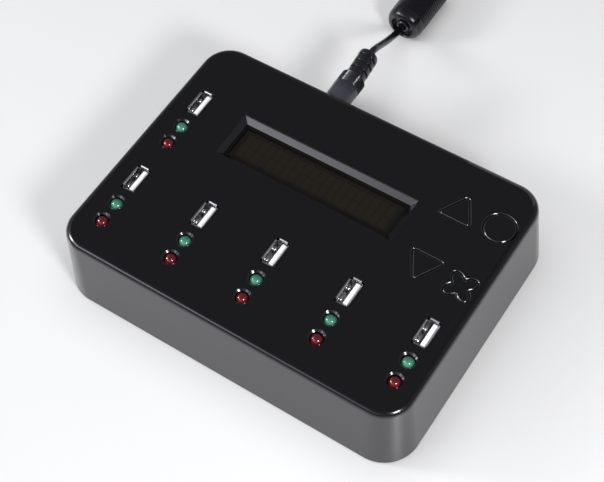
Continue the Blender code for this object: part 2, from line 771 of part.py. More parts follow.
def make_keys(finishes):
    """Each key hangs under the top by its flange and stands on the plunger of its switch."""
    flange_top = INNER_TOP - GAP
    flange_low = flange_top - KEY_FLANGE_THICKNESS
    housing_top = SEAT_TOP + SWITCH_HEIGHT
    plunger_top = housing_top + PLUNGER_PROUD
    plunger_low = SEAT_TOP + SWITCH_FLOOR + GAP + KEY_TRAVEL
    housing = less(
        "key_switch",
        block("case", (SWITCH_SIDE, SWITCH_SIDE, SWITCH_HEIGHT), (0, 0, SEAT_TOP + SWITCH_HEIGHT / 2)),
        round_bar("bore", PLUNGER_RADIUS + GAP, SEAT_TOP + SWITCH_FLOOR, housing_top + OVERRUN),
    )
    plunger = round_bar("plunger", PLUNGER_RADIUS, plunger_low, plunger_top)
    stem = round_bar("stem", STEM_RADIUS, plunger_top + GAP, flange_low + SINK)
    grown = {name: outline for name, _, outline in key_outlines(KEY_FLANGE + KEY_CLEARANCE)}
    for name, (x, y), outline in key_outlines():
        pivot = bpy.data.objects.new(f"{name}_slide", None)
        pivot.location = (x, y, 0)
        parts.objects.link(pivot)
        cap = prism(f"{name}_cap", outline, flange_top - SINK, HEIGHT, KEY_EDGE)
        flange = prism(f"{name}_flange", grown[name], flange_low, flange_top)
        add(name, fused(name, cap, flange, stem), finishes["key"], parent=pivot)
        word = name.replace("_key", "")
        add(f"{word}_plunger", plunger, finishes["plunger"], parent=pivot)
        add(f"{word}_switch", housing, finishes["switch"], (x, y, 0))


def make_display(finishes):
    """Bezel against the underside of the top, glass and backlight in it, its board below."""
    centre = (WINDOW_X, WINDOW_Y, 0)
    bezel_top = INNER_TOP - GAP
    board_low = SEAT_TOP + HEADER_HEIGHT + GAP
    board_top = board_low + BOARD_THICKNESS
    bezel_low = board_top + GAP
    wide = WINDOW_WIDTH + 2 * BEZEL_RIM
    deep = WINDOW_DEPTH + 2 * BEZEL_RIM
    case = block("bezel_case", (wide, deep, bezel_top - bezel_low), (0, 0, (bezel_top + bezel_low) / 2))
    room_top = bezel_top - BEZEL_SHEET
    room_size = (wide - 2 * BEZEL_SHEET, deep - 2 * BEZEL_SHEET)
    room_low = bezel_low - OVERRUN
    room = block("bezel_room", (*room_size, room_top - room_low), (0, 0, (room_top + room_low) / 2))
    look = block(
        "bezel_look",
        (WINDOW_WIDTH - 2 * BEZEL_LAP, WINDOW_DEPTH - 2 * BEZEL_LAP, BEZEL_SHEET + 2 * OVERRUN),
        (0, 0, bezel_top),
    )
    add("display_bezel", less("display_bezel", case, room, look), finishes["bezel"], centre)
    glass_top = room_top - GAP
    glass_low = glass_top - GLASS_THICKNESS
    inner = (room_size[0] - 2 * GAP, room_size[1] - 2 * GAP)
    glass = block("display_glass", (*inner, GLASS_THICKNESS), (0, 0, (glass_top + glass_low) / 2))
    add("display_glass", glass, finishes["display"], centre)
    light_top = glass_low - GAP
    light = block("display_backlight", (*inner, light_top - bezel_low), (0, 0, (light_top + bezel_low) / 2))
    add("display_backlight", light, finishes["insulator"], centre)
    size = (wide + 2 * DISPLAY_BOARD_RIM, deep + 2 * DISPLAY_BOARD_RIM, BOARD_THICKNESS)
    board = block("display_board", size, (0, 0, (board_low + board_top) / 2))
    add("display_board", board, finishes["board"], centre)
    header_y = size[1] / 2 - HEADER_WIDTH
    header = block(
        "display_header",
        (HEADER_LENGTH, HEADER_WIDTH, HEADER_HEIGHT - GAP),
        (0, header_y, SEAT_TOP + (HEADER_HEIGHT - GAP) / 2),
    )
    add("display_header", header, finishes["bezel"], centre)


def along_y(mesh, x, y, z):
    """Lays an upright mesh down so that its +Z points along +Y, and moves it."""
    mesh.transform(Matrix.Translation((x, y, z)) @ Matrix.Rotation(-math.pi / 2, 4, "X"))
    return mesh


def wall_face_y():
    """Inner face of the back wall at the top of the jack, where the wall is furthest in."""
    return half_size_at(JACK_Z + JACK_HEIGHT / 2)[1] - WALL


def seat_face_y():
    return half_size_at(JACK_Z)[1] - WALL + SEAT_WALL


def make_jack(finish):
    """The jack stands on the board with its mouth at the back wall. Its pin is one with its body."""
    face = wall_face_y() - GAP
    size = (JACK_WIDTH, JACK_LENGTH, JACK_HEIGHT)
    body = block("jack_body", size, (JACK_X, face - JACK_LENGTH / 2, JACK_Z))
    bore = along_y(round_bar("jack_bore", JACK_BORE, -JACK_BORE_DEPTH, OVERRUN), JACK_X, face, JACK_Z)
    pin = round_bar("jack_pin", JACK_PIN, -JACK_BORE_DEPTH - SINK, -JACK_BORE_DEPTH / 4, sides=12)
    pin = along_y(pin, JACK_X, face, JACK_Z)
    mesh = fused("power_jack", less("jack_shell", body, bore), pin)
    return add("power_jack", mesh, finish)


def make_plug(finish):
    """Moulded plug, grooved band and ringed strain relief in one, with the sleeve in the jack."""
    end = PLUG_LENGTH + RELIEF_LENGTH
    band_start = PLUG_LENGTH - PLUG_EDGE - PLUG_BAND
    step = PLUG_BAND / PLUG_GROOVES
    wide = PLUG_RADIUS + PLUG_FLARE
    profile = [(0, 0), (PLUG_RADIUS - PLUG_EDGE, 0), (PLUG_RADIUS, PLUG_EDGE), (wide, band_start)]
    for k in range(PLUG_GROOVES):
        profile.append((wide - PLUG_GROOVE, band_start + (k + 0.5) * step))
        profile.append((wide, band_start + (k + 1) * step))
    profile += [(wide - PLUG_EDGE, PLUG_LENGTH), (RELIEF_RADIUS, PLUG_LENGTH)]
    ring = RELIEF_LENGTH / RELIEF_RINGS
    for k in range(RELIEF_RINGS - 1):
        z = PLUG_LENGTH + (k + 1) * ring
        profile += [
            (RELIEF_RADIUS, z - RELIEF_GROOVE),
            (RELIEF_RADIUS - RELIEF_GROOVE, z - RELIEF_GROOVE / 2),
            (RELIEF_RADIUS - RELIEF_GROOVE, z),
            (RELIEF_RADIUS, z + RELIEF_GROOVE / 2),
        ]
    profile += [(RELIEF_RADIUS, end - 2 * PLUG_EDGE), (RELIEF_RADIUS - 2 * PLUG_EDGE, end), (0, end)]
    body = turned("plug_body", profile[::-1], 20)
    for vert in body.vertices:
        vert.co.x -= RELIEF_BEND * max(0, (vert.co.z - PLUG_LENGTH) / RELIEF_LENGTH) ** 1.5
    outer = round_bar("sleeve", SLEEVE_RADIUS, -SLEEVE_LENGTH, SINK)
    inner = round_bar("sleeve_bore", SLEEVE_BORE, -SLEEVE_LENGTH - OVERRUN, 0, sides=12)
    mesh = fused("power_plug", body, less("sleeve_tube", outer, inner))
    return add("power_plug", along_y(mesh, JACK_X, seat_face_y() + GAP, JACK_Z), finish)


def plug_end_y():
    return seat_face_y() + GAP + PLUG_LENGTH + RELIEF_LENGTH


def make_ferrite(finish):
    """A ribbed core with shallow domed ends. The lead runs through its bore."""
    half = FERRITE_LENGTH / 2
    face = FERRITE_RADIUS * FERRITE_FACE_share
    shoulder = FERRITE_RADIUS - FERRITE_DOME / 2
    shoulder_z = half - FERRITE_DOME / 3
    profile = [(0, half), (face, half), (shoulder, shoulder_z), (FERRITE_RADIUS, half - FERRITE_DOME)]
    ribbed = FERRITE_LENGTH - 2 * (FERRITE_DOME + FERRITE_END_BAND)
    step = ribbed / FERRITE_RIBS
    for k in range(FERRITE_RIBS):
        z = ribbed / 2 - k * step
        profile += [(FERRITE_RADIUS, z), (FERRITE_RADIUS - FERRITE_RIB, z - step / 2)]
    profile += [(FERRITE_RADIUS, -ribbed / 2), (FERRITE_RADIUS, FERRITE_DOME - half)]
    profile += [(shoulder, -shoulder_z), (face, -half), (0, -half)]
    bore = round_bar("ferrite_bore", LEAD_RADIUS + GAP, -half - OVERRUN, half + OVERRUN)
    mesh = less("ferrite_core", turned("ferrite_body", profile, 20), bore)
    return add("ferrite_core", along_y(mesh, FERRITE_X, FERRITE_FRONT + half, FERRITE_RADIUS), finish)


def smooth_path(points, step):
    """Points about a step apart on a smooth curve through the given ones."""
    route = [Vector(p) for p in points]
    route = [2 * route[0] - route[1], *route, 2 * route[-1] - route[-2]]
    fine = []
    for a, b, c, d in zip(route, route[1:], route[2:], route[3:]):
        for k in range(10):
            t = k / 10
            bend = (2 * a - 5 * b + 4 * c - d) * t**2
            twist = (3 * b - a - 3 * c + d) * t**3
            fine.append(b + ((c - a) * t + bend + twist) / 2)
    fine.append(route[-2])
    lengths = [0]
    for p, q in zip(fine, fine[1:]):
        lengths.append(lengths[-1] + (q - p).length)
    count = max(2, round(lengths[-1] / step))
    found = []
    k = 0
    for i in range(count + 1):
        wanted = lengths[-1] * i / count
        while k < len(fine) - 2 and lengths[k + 1] < wanted:
            k += 1
        share = (wanted - lengths[k]) / (lengths[k + 1] - lengths[k])
        found.append(fine[k].lerp(fine[k + 1], min(1, max(0, share))))
    return found


def tube(name, points, radius, resolution, finish):
    curve = bpy.data.curves.new(name, "CURVE")
    curve.dimensions = "3D"
    curve.bevel_depth = radius
    curve.bevel_resolution = resolution
    curve.use_fill_caps = True
    spline = curve.splines.new("POLY")
    spline.points.add(len(points) - 1)
    for target, point in zip(spline.points, points):
        target.co = (*point, 1)
    thing = bpy.data.objects.new(name, curve)
    parts.objects.link(thing)
    curve.materials.append(finish)
    return thing


def lead_route():
    """From the strain relief down to the table, through the ferrite core, to the coil."""
    return [
        (JACK_X - RELIEF_BEND, plug_end_y() + LEAD_START, JACK_Z),
        (-0.0245, 0.0960, 0.0272),
        (-0.0251, 0.1000, 0.0247),
        (-0.0257, 0.1040, 0.0219),
        (-0.0262, 0.1080, 0.0192),
        (-0.0268, 0.1120, 0.0166),
        (-0.0274, 0.1160, 0.0141),
        (-0.0280, 0.1200, 0.0116),
        (-0.0285, 0.1230, 0.0099),
        (-0.02875, 0.1255, 0.00905),
        (FERRITE_X, 0.1280, FERRITE_RADIUS),
        (FERRITE_X, 0.1310, FERRITE_RADIUS),
        (FERRITE_X, 0.1360, FERRITE_RADIUS),
        (FERRITE_X, 0.1450, FERRITE_RADIUS),
        (FERRITE_X, 0.1540, FERRITE_RADIUS),
        (FERRITE_X, 0.1610, FERRITE_RADIUS),
        (FERRITE_X, 0.1670, 0.0082),
        (FERRITE_X, 0.1725, 0.0063),
        (FERRITE_X, 0.1785, 0.0041),
        (FERRITE_X, 0.1845, 0.0025),
        (FERRITE_X, 0.1905, 0.0018),
        (FERRITE_X, COIL_Y - 2 * LEAD_RADIUS - GAP, COIL_LOW),
    ]


def eased(share):
    return share * share * (3 - 2 * share)


def coil_radius_at(turns):
    """Inwards at a steady rate, round through half a turn, and outwards at the same rate."""
    outer = COIL_OUTER
    if turns <= TURNS_IN:
        return outer - COIL_PITCH * turns
    inner = outer - COIL_PITCH * TURNS_IN
    share = (turns - TURNS_IN) / 0.5
    if share <= 1:
        return inner - COIL_PITCH / 2 * share * (1 - share)
    return inner + COIL_PITCH * (turns - TURNS_IN - 0.5)


def coil_height_at(turns):
    return COIL_LOW + COIL_PITCH * eased(min(1, max(0, (turns - TURNS_IN) / 0.5)))


def coil_points():
    """Two layers of loops, with a straight piece one diameter long at each end."""
    total = TURNS_IN + 0.5 + TURNS_OUT
    count = round(total * POINTS_A_TURN)
    points = [Vector((FERRITE_X, COIL_Y - 2 * LEAD_RADIUS, COIL_LOW))]
    for k in range(count + 1):
        turns = total * k / count
        angle = 2 * math.pi * turns
        radius = coil_radius_at(turns)
        height = coil_height_at(turns)
        points.append(Vector((COIL_X + radius * math.cos(angle), COIL_Y + radius * math.sin(angle), height)))
    points.append(points[-1] + Vector((-2 * LEAD_RADIUS, 0, 0)))
    return points


def print_coil_gap(points):
    """Prints the least distance between loops that are more than half a turn apart along the coil."""
    away = POINTS_A_TURN // 2
    least = min(
        (p - q).length for i, p in enumerate(points) for q in points[i + away :]
    )
    print(f"coil: least gap between loops {1000 * (least - 2 * LEAD_RADIUS):.2f} mm")


def make_adapter(start, finish):
    """A small adapter with its blades at one end and a tapered gland for the lead at the other."""
    middle_z = ADAPTER_HEIGHT / 2
    gland_x = start.x - TAIL_RUN - GAP
    body_right = gland_x - GLAND_LENGTH
    centre = (body_right - ADAPTER_LENGTH / 2, start.y, middle_z)
    body = block("adapter_body", (ADAPTER_LENGTH, ADAPTER_WIDTH, ADAPTER_HEIGHT), centre, ADAPTER_EDGE, 3)
    gland = round_bar("gland", GLAND_RADIUS, -SINK, GLAND_LENGTH, top_radius=GLAND_END)
    lay_down = Matrix.Rotation(math.pi / 2, 4, "Y")
    gland.transform(Matrix.Translation((body_right, start.y, middle_z)) @ lay_down)
    blade_x = body_right - ADAPTER_LENGTH - (BLADE_LENGTH - SINK) / 2
    blades = [
        block(
            "blade",
            (BLADE_LENGTH + SINK, BLADE_THICKNESS, BLADE_WIDTH),
            (blade_x, start.y + side * BLADE_STEP / 2, middle_z),
        )
        for side in (-1, 1)
    ]
    add("power_adapter", fused("power_adapter", body, gland, *blades), finish)
    return Vector((gland_x, start.y, middle_z))


def make_lead(finishes):
    tube("lead", smooth_path(lead_route(), LEAD_POINT_STEP), LEAD_RADIUS, 2, finishes["lead"])
    points = coil_points()
    print_coil_gap(points)
    tube("lead_coil", points, LEAD_RADIUS, 1, finishes["lead"])
    start = points[-1] - Vector((GAP, 0, 0))
    end = make_adapter(start, finishes["adapter"])
    rise = end.z - start.z
    run = end.x - start.x
    tail = [start + Vector((run * k / 6, 0, rise * eased(k / 6))) for k in range(7)]
    tail[-1] = end + Vector((GAP, 0, 0))
    tube("lead_tail", smooth_path(tail, LEAD_POINT_STEP), LEAD_RADIUS, 2, finishes["lead"])


def make_finishes():
    return {
        "shell": material("satin_black_shell", (0.012, 0.012, 0.013), 0.38),
        "cover": material("black_cover", (0.015, 0.015, 0.016), 0.5),
        "key": material("black_key", (0.012, 0.012, 0.013), 0.33),
        "nickel": material("nickel_sheet", (0.62, 0.61, 0.60), 0.28, 1.0),
        "insulator": material("white_insulator", (0.86, 0.86, 0.87), 0.4),
        "green": material("green_lamp_resin", (0.08, 0.30, 0.21), 0.12),
        "red": material("red_lamp_resin", (0.26, 0.015, 0.02), 0.12),
        "board": material("green_board", (0.02, 0.16, 0.06), 0.45),
        "chip": material("chip_resin", (0.02, 0.02, 0.02), 0.55),
        "switch": material("switch_housing", (0.03, 0.03, 0.03), 0.5),
        "plunger": material("switch_plunger", (0.5, 0.48, 0.42), 0.45),
        "bezel": material("black_bezel", (0.02, 0.02, 0.02), 0.35, 0.6),
        "display": material("dark_display_glass", (0.018, 0.013, 0.008), 0.08),
        "jack": material("jack_housing", (0.02, 0.02, 0.02), 0.5),
        "plug": material("plug_moulding", (0.018, 0.018, 0.020), 0.42),
        "ferrite": material("ferrite_case", (0.018, 0.018, 0.020), 0.38),
        "lead": material("lead_jacket", (0.014, 0.014, 0.015), 0.4),
        "adapter": material("adapter_case", (0.018, 0.018, 0.020), 0.45),
        "screw": material("zinc_screw", (0.55, 0.55, 0.54), 0.35, 1.0),
        "foot": material("foot_rubber", (0.03, 0.03, 0.03), 0.85),
    }


def main():
    clear_scene()
    finishes = make_finishes()
    make_top_shell(finishes["shell"])
    make_bottom_cover(finishes["cover"])
    make_feet(finishes["foot"])
    make_screws(finishes["screw"])
    make_main_board(finishes["board"])
    make_chip(finishes["chip"])
    make_ports(finishes)
    make_keys(finishes)
    make_display(finishes)
    make_jack(finishes["jack"])
    make_plug(finishes["plug"])
    make_ferrite(finishes["ferrite"])
    make_lead(finishes)


main()
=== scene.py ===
import math

import bmesh
import bpy
from mathutils import Matrix, Vector


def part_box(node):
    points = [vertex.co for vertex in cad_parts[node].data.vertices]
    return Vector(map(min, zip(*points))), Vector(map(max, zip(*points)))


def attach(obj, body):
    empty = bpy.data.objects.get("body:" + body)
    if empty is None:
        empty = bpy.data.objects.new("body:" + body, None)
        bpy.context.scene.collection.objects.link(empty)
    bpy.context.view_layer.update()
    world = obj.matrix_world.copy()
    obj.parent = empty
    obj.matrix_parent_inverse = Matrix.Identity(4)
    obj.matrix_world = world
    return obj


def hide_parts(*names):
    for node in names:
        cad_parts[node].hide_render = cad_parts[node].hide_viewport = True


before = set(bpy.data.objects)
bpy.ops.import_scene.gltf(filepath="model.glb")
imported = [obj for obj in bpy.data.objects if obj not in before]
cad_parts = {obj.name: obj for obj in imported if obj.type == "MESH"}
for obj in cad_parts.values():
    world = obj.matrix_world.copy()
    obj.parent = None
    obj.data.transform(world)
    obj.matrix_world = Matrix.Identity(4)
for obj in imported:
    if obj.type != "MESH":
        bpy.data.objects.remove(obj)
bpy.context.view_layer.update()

mm = 0.001
upright = Vector((0, 0, 1))
portNames = ("source", "copy_1", "copy_2", "copy_3", "copy_4", "copy_5")
keyNames = ("up_key", "down_key", "round_key", "cross_key")


# Flat outlines, as lists of x and y

def circle(radius, count):
    turns = [math.tau * k / count for k in range(count)]
    return [(radius * math.cos(turn), radius * math.sin(turn)) for turn in turns]


def quarter(steps, first=0):
    # sine and cosine at even steps through a right angle
    turns = [math.pi / 2 * k / steps for k in range(first, steps + 1)]
    return [(math.sin(turn), math.cos(turn)) for turn in turns]


def roundedBox(halfX, halfY, corner, steps):
    points = []
    for k, (sideX, sideY) in enumerate(((1, 1), (-1, 1), (-1, -1), (1, -1))):
        for step in range(steps + 1):
            turn = (k + step / steps) * math.pi / 2
            x = sideX * (halfX - corner) + corner * math.cos(turn)
            y = sideY * (halfY - corner) + corner * math.sin(turn)
            points.append((x, y))
    return points


def roundedTriangle(reach, corner, pointing, grow, steps=8):
    # centred on its height; grow moves the sides out
    middleReach = reach - corner
    drop = -math.sin(pointing) * middleReach / 4
    points = []
    for k in range(3):
        aim = pointing + k * math.tau / 3
        for step in range(-steps, steps + 1):
            turn = aim + step / steps * math.pi / 3
            x = middleReach * math.cos(aim) + (corner + grow) * math.cos(turn)
            y = drop + middleReach * math.sin(aim) + (corner + grow) * math.sin(turn)
            points.append((x, y))
    return points


def fourLobes(reach, waist, blunt, grow, count=112):
    # four round lobes on the diagonals; grow moves the outline out square to itself
    ring = []
    for k in range(count):
        turn = math.tau * k / count
        share = max(0, (1 - math.cos(4 * turn)) / 2) ** blunt
        radius = waist + (reach - waist) * share
        ring.append(Vector((radius * math.cos(turn), radius * math.sin(turn))))
    points = []
    for k in range(count):
        run = (ring[(k + 1) % count] - ring[k - 1]).normalized()
        points.append((ring[k].x + grow * run.y, ring[k].y - grow * run.x))
    return points


def smoothPath(points, step):
    # points about a step apart on a smooth curve through the given ones
    route = [Vector(p) for p in points]
    route = [2 * route[0] - route[1], *route, 2 * route[-1] - route[-2]]
    fine = []
    parts = 12  # between one given point and the next
    for a, b, c, d in zip(route, route[1:], route[2:], route[3:]):
        for k in range(parts):
            t = k / parts
            bend = (2 * a - 5 * b + 4 * c - d) * t**2
            twist = (3 * b - a - 3 * c + d) * t**3
            fine.append(b + ((c - a) * t + bend + twist) / 2)
    fine.append(route[-2])
    lengths = [0]
    for p, q in zip(fine, fine[1:]):
        lengths.append(lengths[-1] + (q - p).length)
    count = max(2, round(lengths[-1] / step))
    found = []
    k = 0
    for i in range(count + 1):
        wanted = lengths[-1] * i / count
        while k < len(fine) - 2 and lengths[k + 1] < wanted:
            k += 1
        share = (wanted - lengths[k]) / (lengths[k + 1] - lengths[k])
        found.append(fine[k].lerp(fine[k + 1], min(1, max(0, share))))
    return found


def eased(share):
    share = min(1, max(0, share))
    return share * share * (3 - 2 * share)


# Closed meshes from loops of points

edgeAngle = 38  # degrees from which an edge is shaded as an edge


def smoothed(mesh, angle=edgeAngle):
    mesh.shade_smooth()
    mesh.set_sharp_from_angle(angle=math.radians(angle))
    return mesh


def linked(name, data):
    thing = bpy.data.objects.new(name, data)
    bpy.context.scene.collection.objects.link(thing)
    return thing


class Loft:
    def __init__(self):
        self.bm = bmesh.new()

    def loop(self, points, height=None, place=(0, 0)):
        if height is None:
            return [self.bm.verts.new(p) for p in points]
        return [self.bm.verts.new((x + place[0], y + place[1], height)) for x, y in points]

    def bridge(self, first, second):
        count = max(len(first), len(second))
        for k in range(count):
            corners = []
            for loop, index in ((first, k), (first, k + 1), (second, k + 1), (second, k)):
                vert = loop[index % len(loop)]
                if vert not in corners:
                    corners.append(vert)
            self.bm.faces.new(corners)

    def chain(self, loops, closed=False):
        for first, second in zip(loops, loops[1:]):
            self.bridge(first, second)
        if closed:
            self.bridge(loops[-1], loops[0])
        return loops

    def cap(self, *loops):
        for loop in loops:
            if len(loop) > 2:
                self.bm.faces.new(loop)

    def plate(self, *loops):
        # a flat face between an outer loop and the holes in it
        edges = [self.bm.edges.get((loop[k - 1], loop[k])) for loop in loops for k in range(len(loop))]
        bmesh.ops.triangle_fill(self.bm, use_beauty=True, use_dissolve=False, edges=edges)

    def turned(self, profile, sides, place=(0, 0), closed=False):
        # a profile of radius and height, turned about an upright axis
        rows = []
        for radius, height in profile:
            row = circle(radius, sides) if radius > 0 else [(0, 0)]
            rows.append(self.loop(row, height, place))
        self.chain(rows, closed)
        if not closed:
            self.cap(rows[0], rows[-1])

    def block(self, low, high, edge, steps=3):
        low, high = Vector(low), Vector(high)
        size = Matrix.Diagonal((*(high - low), 1))
        made = bmesh.ops.create_cube(self.bm, size=1, matrix=Matrix.Translation((low + high) / 2) @ size)
        edges = list({e for v in made["verts"] for e in v.link_edges})
        bmesh.ops.bevel(self.bm, geom=edges, offset=edge, segments=steps, profile=0.5, affect="EDGES")

    def sheet(self, path, thickness, place, halfWidth):
        # a strip of sheet bent along a path; place turns (path x, path y, along) into a point
        outline = []
        for side in (1, -1):
            row = []
            for k, point in enumerate(path):
                run = (Vector(path[min(len(path) - 1, k + 1)]) - Vector(path[max(0, k - 1)])).normalized()
                row.append(Vector(point[:2]) + side * thickness / 2 * Vector((-run.y, run.x)))
            outline += row if side == 1 else row[::-1]
        ends = [self.loop([place(x, y, along) for x, y in outline]) for along in (-halfWidth, halfWidth)]
        self.chain(ends)
        self.cap(*ends)

    def mesh(self, name, angle=edgeAngle, lay=None):
        bmesh.ops.recalc_face_normals(self.bm, faces=self.bm.faces)
        made = bpy.data.meshes.new(name)
        self.bm.to_mesh(made)
        self.bm.free()
        if lay is not None:
            made.transform(lay)
        return smoothed(made, angle)


def turnedMesh(name, profile, sides, angle=edgeAngle, lay=None, closed=False):
    loft = Loft()
    loft.turned(profile, sides, closed=closed)
    return loft.mesh(name, angle, lay)


def blocksMesh(name, *blocks, lay=None):
    # each block is its low and high corner, its rounding and the steps of it
    loft = Loft()
    for block in blocks:
        loft.block(*block)
    return loft.mesh(name, lay=lay)


def centreOf(node):
    low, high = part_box(node)
    return (low + high) / 2


def addPiece(name, shape, finish, slot, replaces=(), body="housing", at=None):
    # shape is a mesh or a loft; the centre of the node named by at gives its origin's x and y
    mesh = shape.mesh(name) if isinstance(shape, Loft) else shape
    thing = linked(name, mesh)
    if at:
        thing.location = (*centreOf(at).xy, 0)
    if not mesh.materials:
        mesh.materials.append(None)
    thing.material_slots[0].link = "OBJECT"
    thing.material_slots[0].material = finishes[finish]
    even = thing.modifiers.new("evenShading", "WEIGHTED_NORMAL")
    even.keep_sharp = True
    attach(thing, body)
    if replaces:
        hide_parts(*replaces)
    return thing


def carved(name, mesh, *cutters):
    # the mesh with closed cutter meshes taken out of it
    thing = linked(name, mesh)
    helpers = [linked(name + "Cutter", cutter) for cutter in cutters]
    for helper in helpers:
        step = thing.modifiers.new("cut", "BOOLEAN")
        step.operation = "DIFFERENCE"
        step.object = helper
    bpy.context.view_layer.update()
    made = bpy.data.meshes.new_from_object(thing.evaluated_get(bpy.context.evaluated_depsgraph_get()))
    for used in (thing, *helpers):
        bpy.data.objects.remove(used)
    return smoothed(made)


# Shader maths

def operator(operation, reflected=False):
    def apply(wire, other):
        first, second = (other, wire) if reflected else (wire, other)
        return wire.graph.node("Math", {"operation": operation}, {0: first, 1: second})

    return apply


class Wire:
    # an output socket that can be written in sums
    def __init__(self, graph, socket):
        self.graph = graph
        self.socket = socket

    __add__, __radd__ = operator("ADD"), operator("ADD", True)
    __sub__, __rsub__ = operator("SUBTRACT"), operator("SUBTRACT", True)
    __mul__, __rmul__ = operator("MULTIPLY"), operator("MULTIPLY", True)
    __truediv__, __rtruediv__ = operator("DIVIDE"), operator("DIVIDE", True)
    __mod__ = operator("FLOORED_MODULO")
    __gt__, __lt__ = operator("GREATER_THAN"), operator("LESS_THAN")


class Graph:
    def __init__(self, tree):
        self.tree = tree

    def join(self, socket, value):
        if isinstance(value, Wire):
            self.tree.links.new(value.socket, socket)
        else:
            socket.default_value = (*value, 1) if socket.type == "RGBA" else value

    def node(self, kind, settings=None, sockets=None, output=0):
        made = self.tree.nodes.new("ShaderNode" + kind)
        for key, value in (settings or {}).items():
            setattr(made, key, value)
        for key, value in (sockets or {}).items():
            self.join(made.inputs[key], value)
        return Wire(self, made.outputs[output])

    def ramp(self, value, stops):
        # stops are positions and colours, or positions and grey levels
        found = self.node("ValToRGB", None, {0: value})
        elements = found.socket.node.color_ramp.elements
        while len(elements) < len(stops):
            elements.new(1)
        for element, (position, colour) in zip(elements, stops):
            element.position = position
            element.color = (*colour, 1) if isinstance(colour, tuple) else (colour, colour, colour, 1)
        return found

    def mix(self, factor, first, second):
        return self.node("Mix", {"data_type": "RGBA"}, {0: factor, 6: first, 7: second}, 2)

    def place(self):
        return self.node("TexCoord", output="Object")

    def axes(self):
        # the three coordinates of the object's own space
        place = self.place()
        return [self.node("SeparateXYZ", None, {0: place}, axis) for axis in range(3)]

    def noise(self, size, detail=2.0, spread=0.5, place=None):
        # grain of the given size in metres, from 0 to 1
        values = {"Vector": place or self.place(), "Scale": 1 / size, "Detail": detail, "Roughness": spread}
        return self.node("TexNoise", None, values)


class Finish(Graph):
    # a Principled material: uniform values go straight to its own sockets
    def __init__(self, name, uniform):
        self.material = bpy.data.materials.new(name)
        self.material.use_nodes = True
        super().__init__(self.material.node_tree)
        self.shader = self.tree.nodes["Principled BSDF"]
        for socket, value in uniform.items():
            self.set(socket, value)

    def set(self, socket, value):
        self.join(self.shader.inputs[socket], value)

    def bump(self, height, depth):
        self.set("Normal", self.node("Bump", None, {"Strength": 1.0, "Distance": depth, "Height": height}))


plasticLook = {
    "ior": 1.5,
    "sheen": (1.0, 1.0, 1.0),
    "fade": 0.35,  # how much paler the dust makes the colour
    "drift": 14 * mm,
    "uneven": 0.05,
    "coatIor": 2.4,
    "coatRoughness": 0.12,
}


def plastic(name, colour, roughness, grainSize, grainDepth, own):
    # moulded plastic: fine eroded grain, slow drifts of gloss and a trace of dust in the colour
    look = {**plasticLook, **own}
    made = Finish(name, {"IOR": look["ior"], "Specular Tint": look["sheen"]})
    drift = made.noise(look["drift"], 3.0)
    grain = made.noise(grainSize, 2.0, 0.6)
    tone = made.mix(drift, colour, tuple(channel * (1 + look["fade"]) for channel in colour))
    rough = roughness + (drift - 0.5) * look["uneven"] + (grain - 0.5) * look["uneven"]
    if "darkerTowardsLead" in look:
        # smoother and darker from one y to the next: the plug's grooves and relief, not its front
        start, full, gloss, leadEndTone = look["darkerTowardsLead"]
        share = made.node("MapRange", None, {0: made.axes()[1], 1: start, 2: full})
        tone = made.mix(share, tone, leadEndTone)
        rough = rough - share * gloss
    made.set("Base Color", tone)
    made.set("Roughness", rough)
    if "rims" in look:
        # rims rubbed bright: between two heights, inside a range of x and behind a y
        low, high, left, right, front = look["rims"]
        x, y, z = made.axes()
        made.set("Coat Weight", (z > low) * (z < high) * (x > left) * (x < right) * (y > front))
        made.set("Coat IOR", look["coatIor"])
        made.set("Coat Roughness", look["coatRoughness"])
    made.bump(grain, grainDepth)
    return made.material


# Camera and studio

cameraLook = {
    "place": (194.28 * mm, -242.24 * mm, 505.03 * mm),
    "azimuth": 38.823,
    "elevation": 57.508,
    "roll": -6.529,
    "sensor": 36.0,
    "focal": 82.294,
}


def addCamera():
    azimuth, elevation, roll = (math.radians(cameraLook[key]) for key in ("azimuth", "elevation", "roll"))
    level = math.cos(elevation)
    forward = Vector((-math.sin(azimuth) * level, math.cos(azimuth) * level, -math.sin(elevation)))
    lens = bpy.data.cameras.new("photoCamera")
    lens.sensor_fit = "HORIZONTAL"
    lens.sensor_width = cameraLook["sensor"]
    lens.lens = cameraLook["focal"]
    lens.clip_start = 10 * mm
    camera = linked("photoCamera", lens)
    turn = forward.to_track_quat("-Z", "Y").to_matrix().to_4x4() @ Matrix.Rotation(roll, 4, "Z")
    camera.matrix_world = Matrix.Translation(cameraLook["place"]) @ turn
    bpy.context.scene.camera = camera


studio = {
    "floorSize": 6.0,
    "floorColour": (0.88, 0.88, 0.885),
    # a white table with a soft gloss, in which the walls see the right lamp again
    "floorRoughness": 0.3,
    "floorIor": 2.0,
    "lampDistance": 0.8,
    "lamps": (
        # towards the lamp, radius, watts
        ("leftLamp", (-0.80, -0.376, 0.465), 84 * mm, 2.1),
        ("rightLamp", (0.686, -0.340, 0.630), 92 * mm, 3.6),
    ),
    # a broad light overhead that no gloss mirrors
    "overhead": ((-0.03, 0.05, 1.0), 450 * mm, 3.2),
    # a soft band from the left to the front, by how far a direction turns from its axis
    "bandAxis": (-0.75, -0.66, 0.0),
    "bandTurn": ((0.0, 0.0), (0.60, 0.0), (0.72, 0.10), (0.855, 0.15), (0.88, 0.38), (0.91, 1.0)),
    "bandHeights": ((0.0, 0.0), (0.34, 0.03), (0.41, 0.20), (0.50, 1.0), (0.62, 1.0), (0.72, 0.0)),
    "band": 4.0,
    "fillHeights": ((0.0, 0.05), (0.30, 0.10), (0.55, 0.12), (0.70, 0.0)),
    "room": 0.105,
    "skyColour": (0.95, 0.96, 1.0),
}


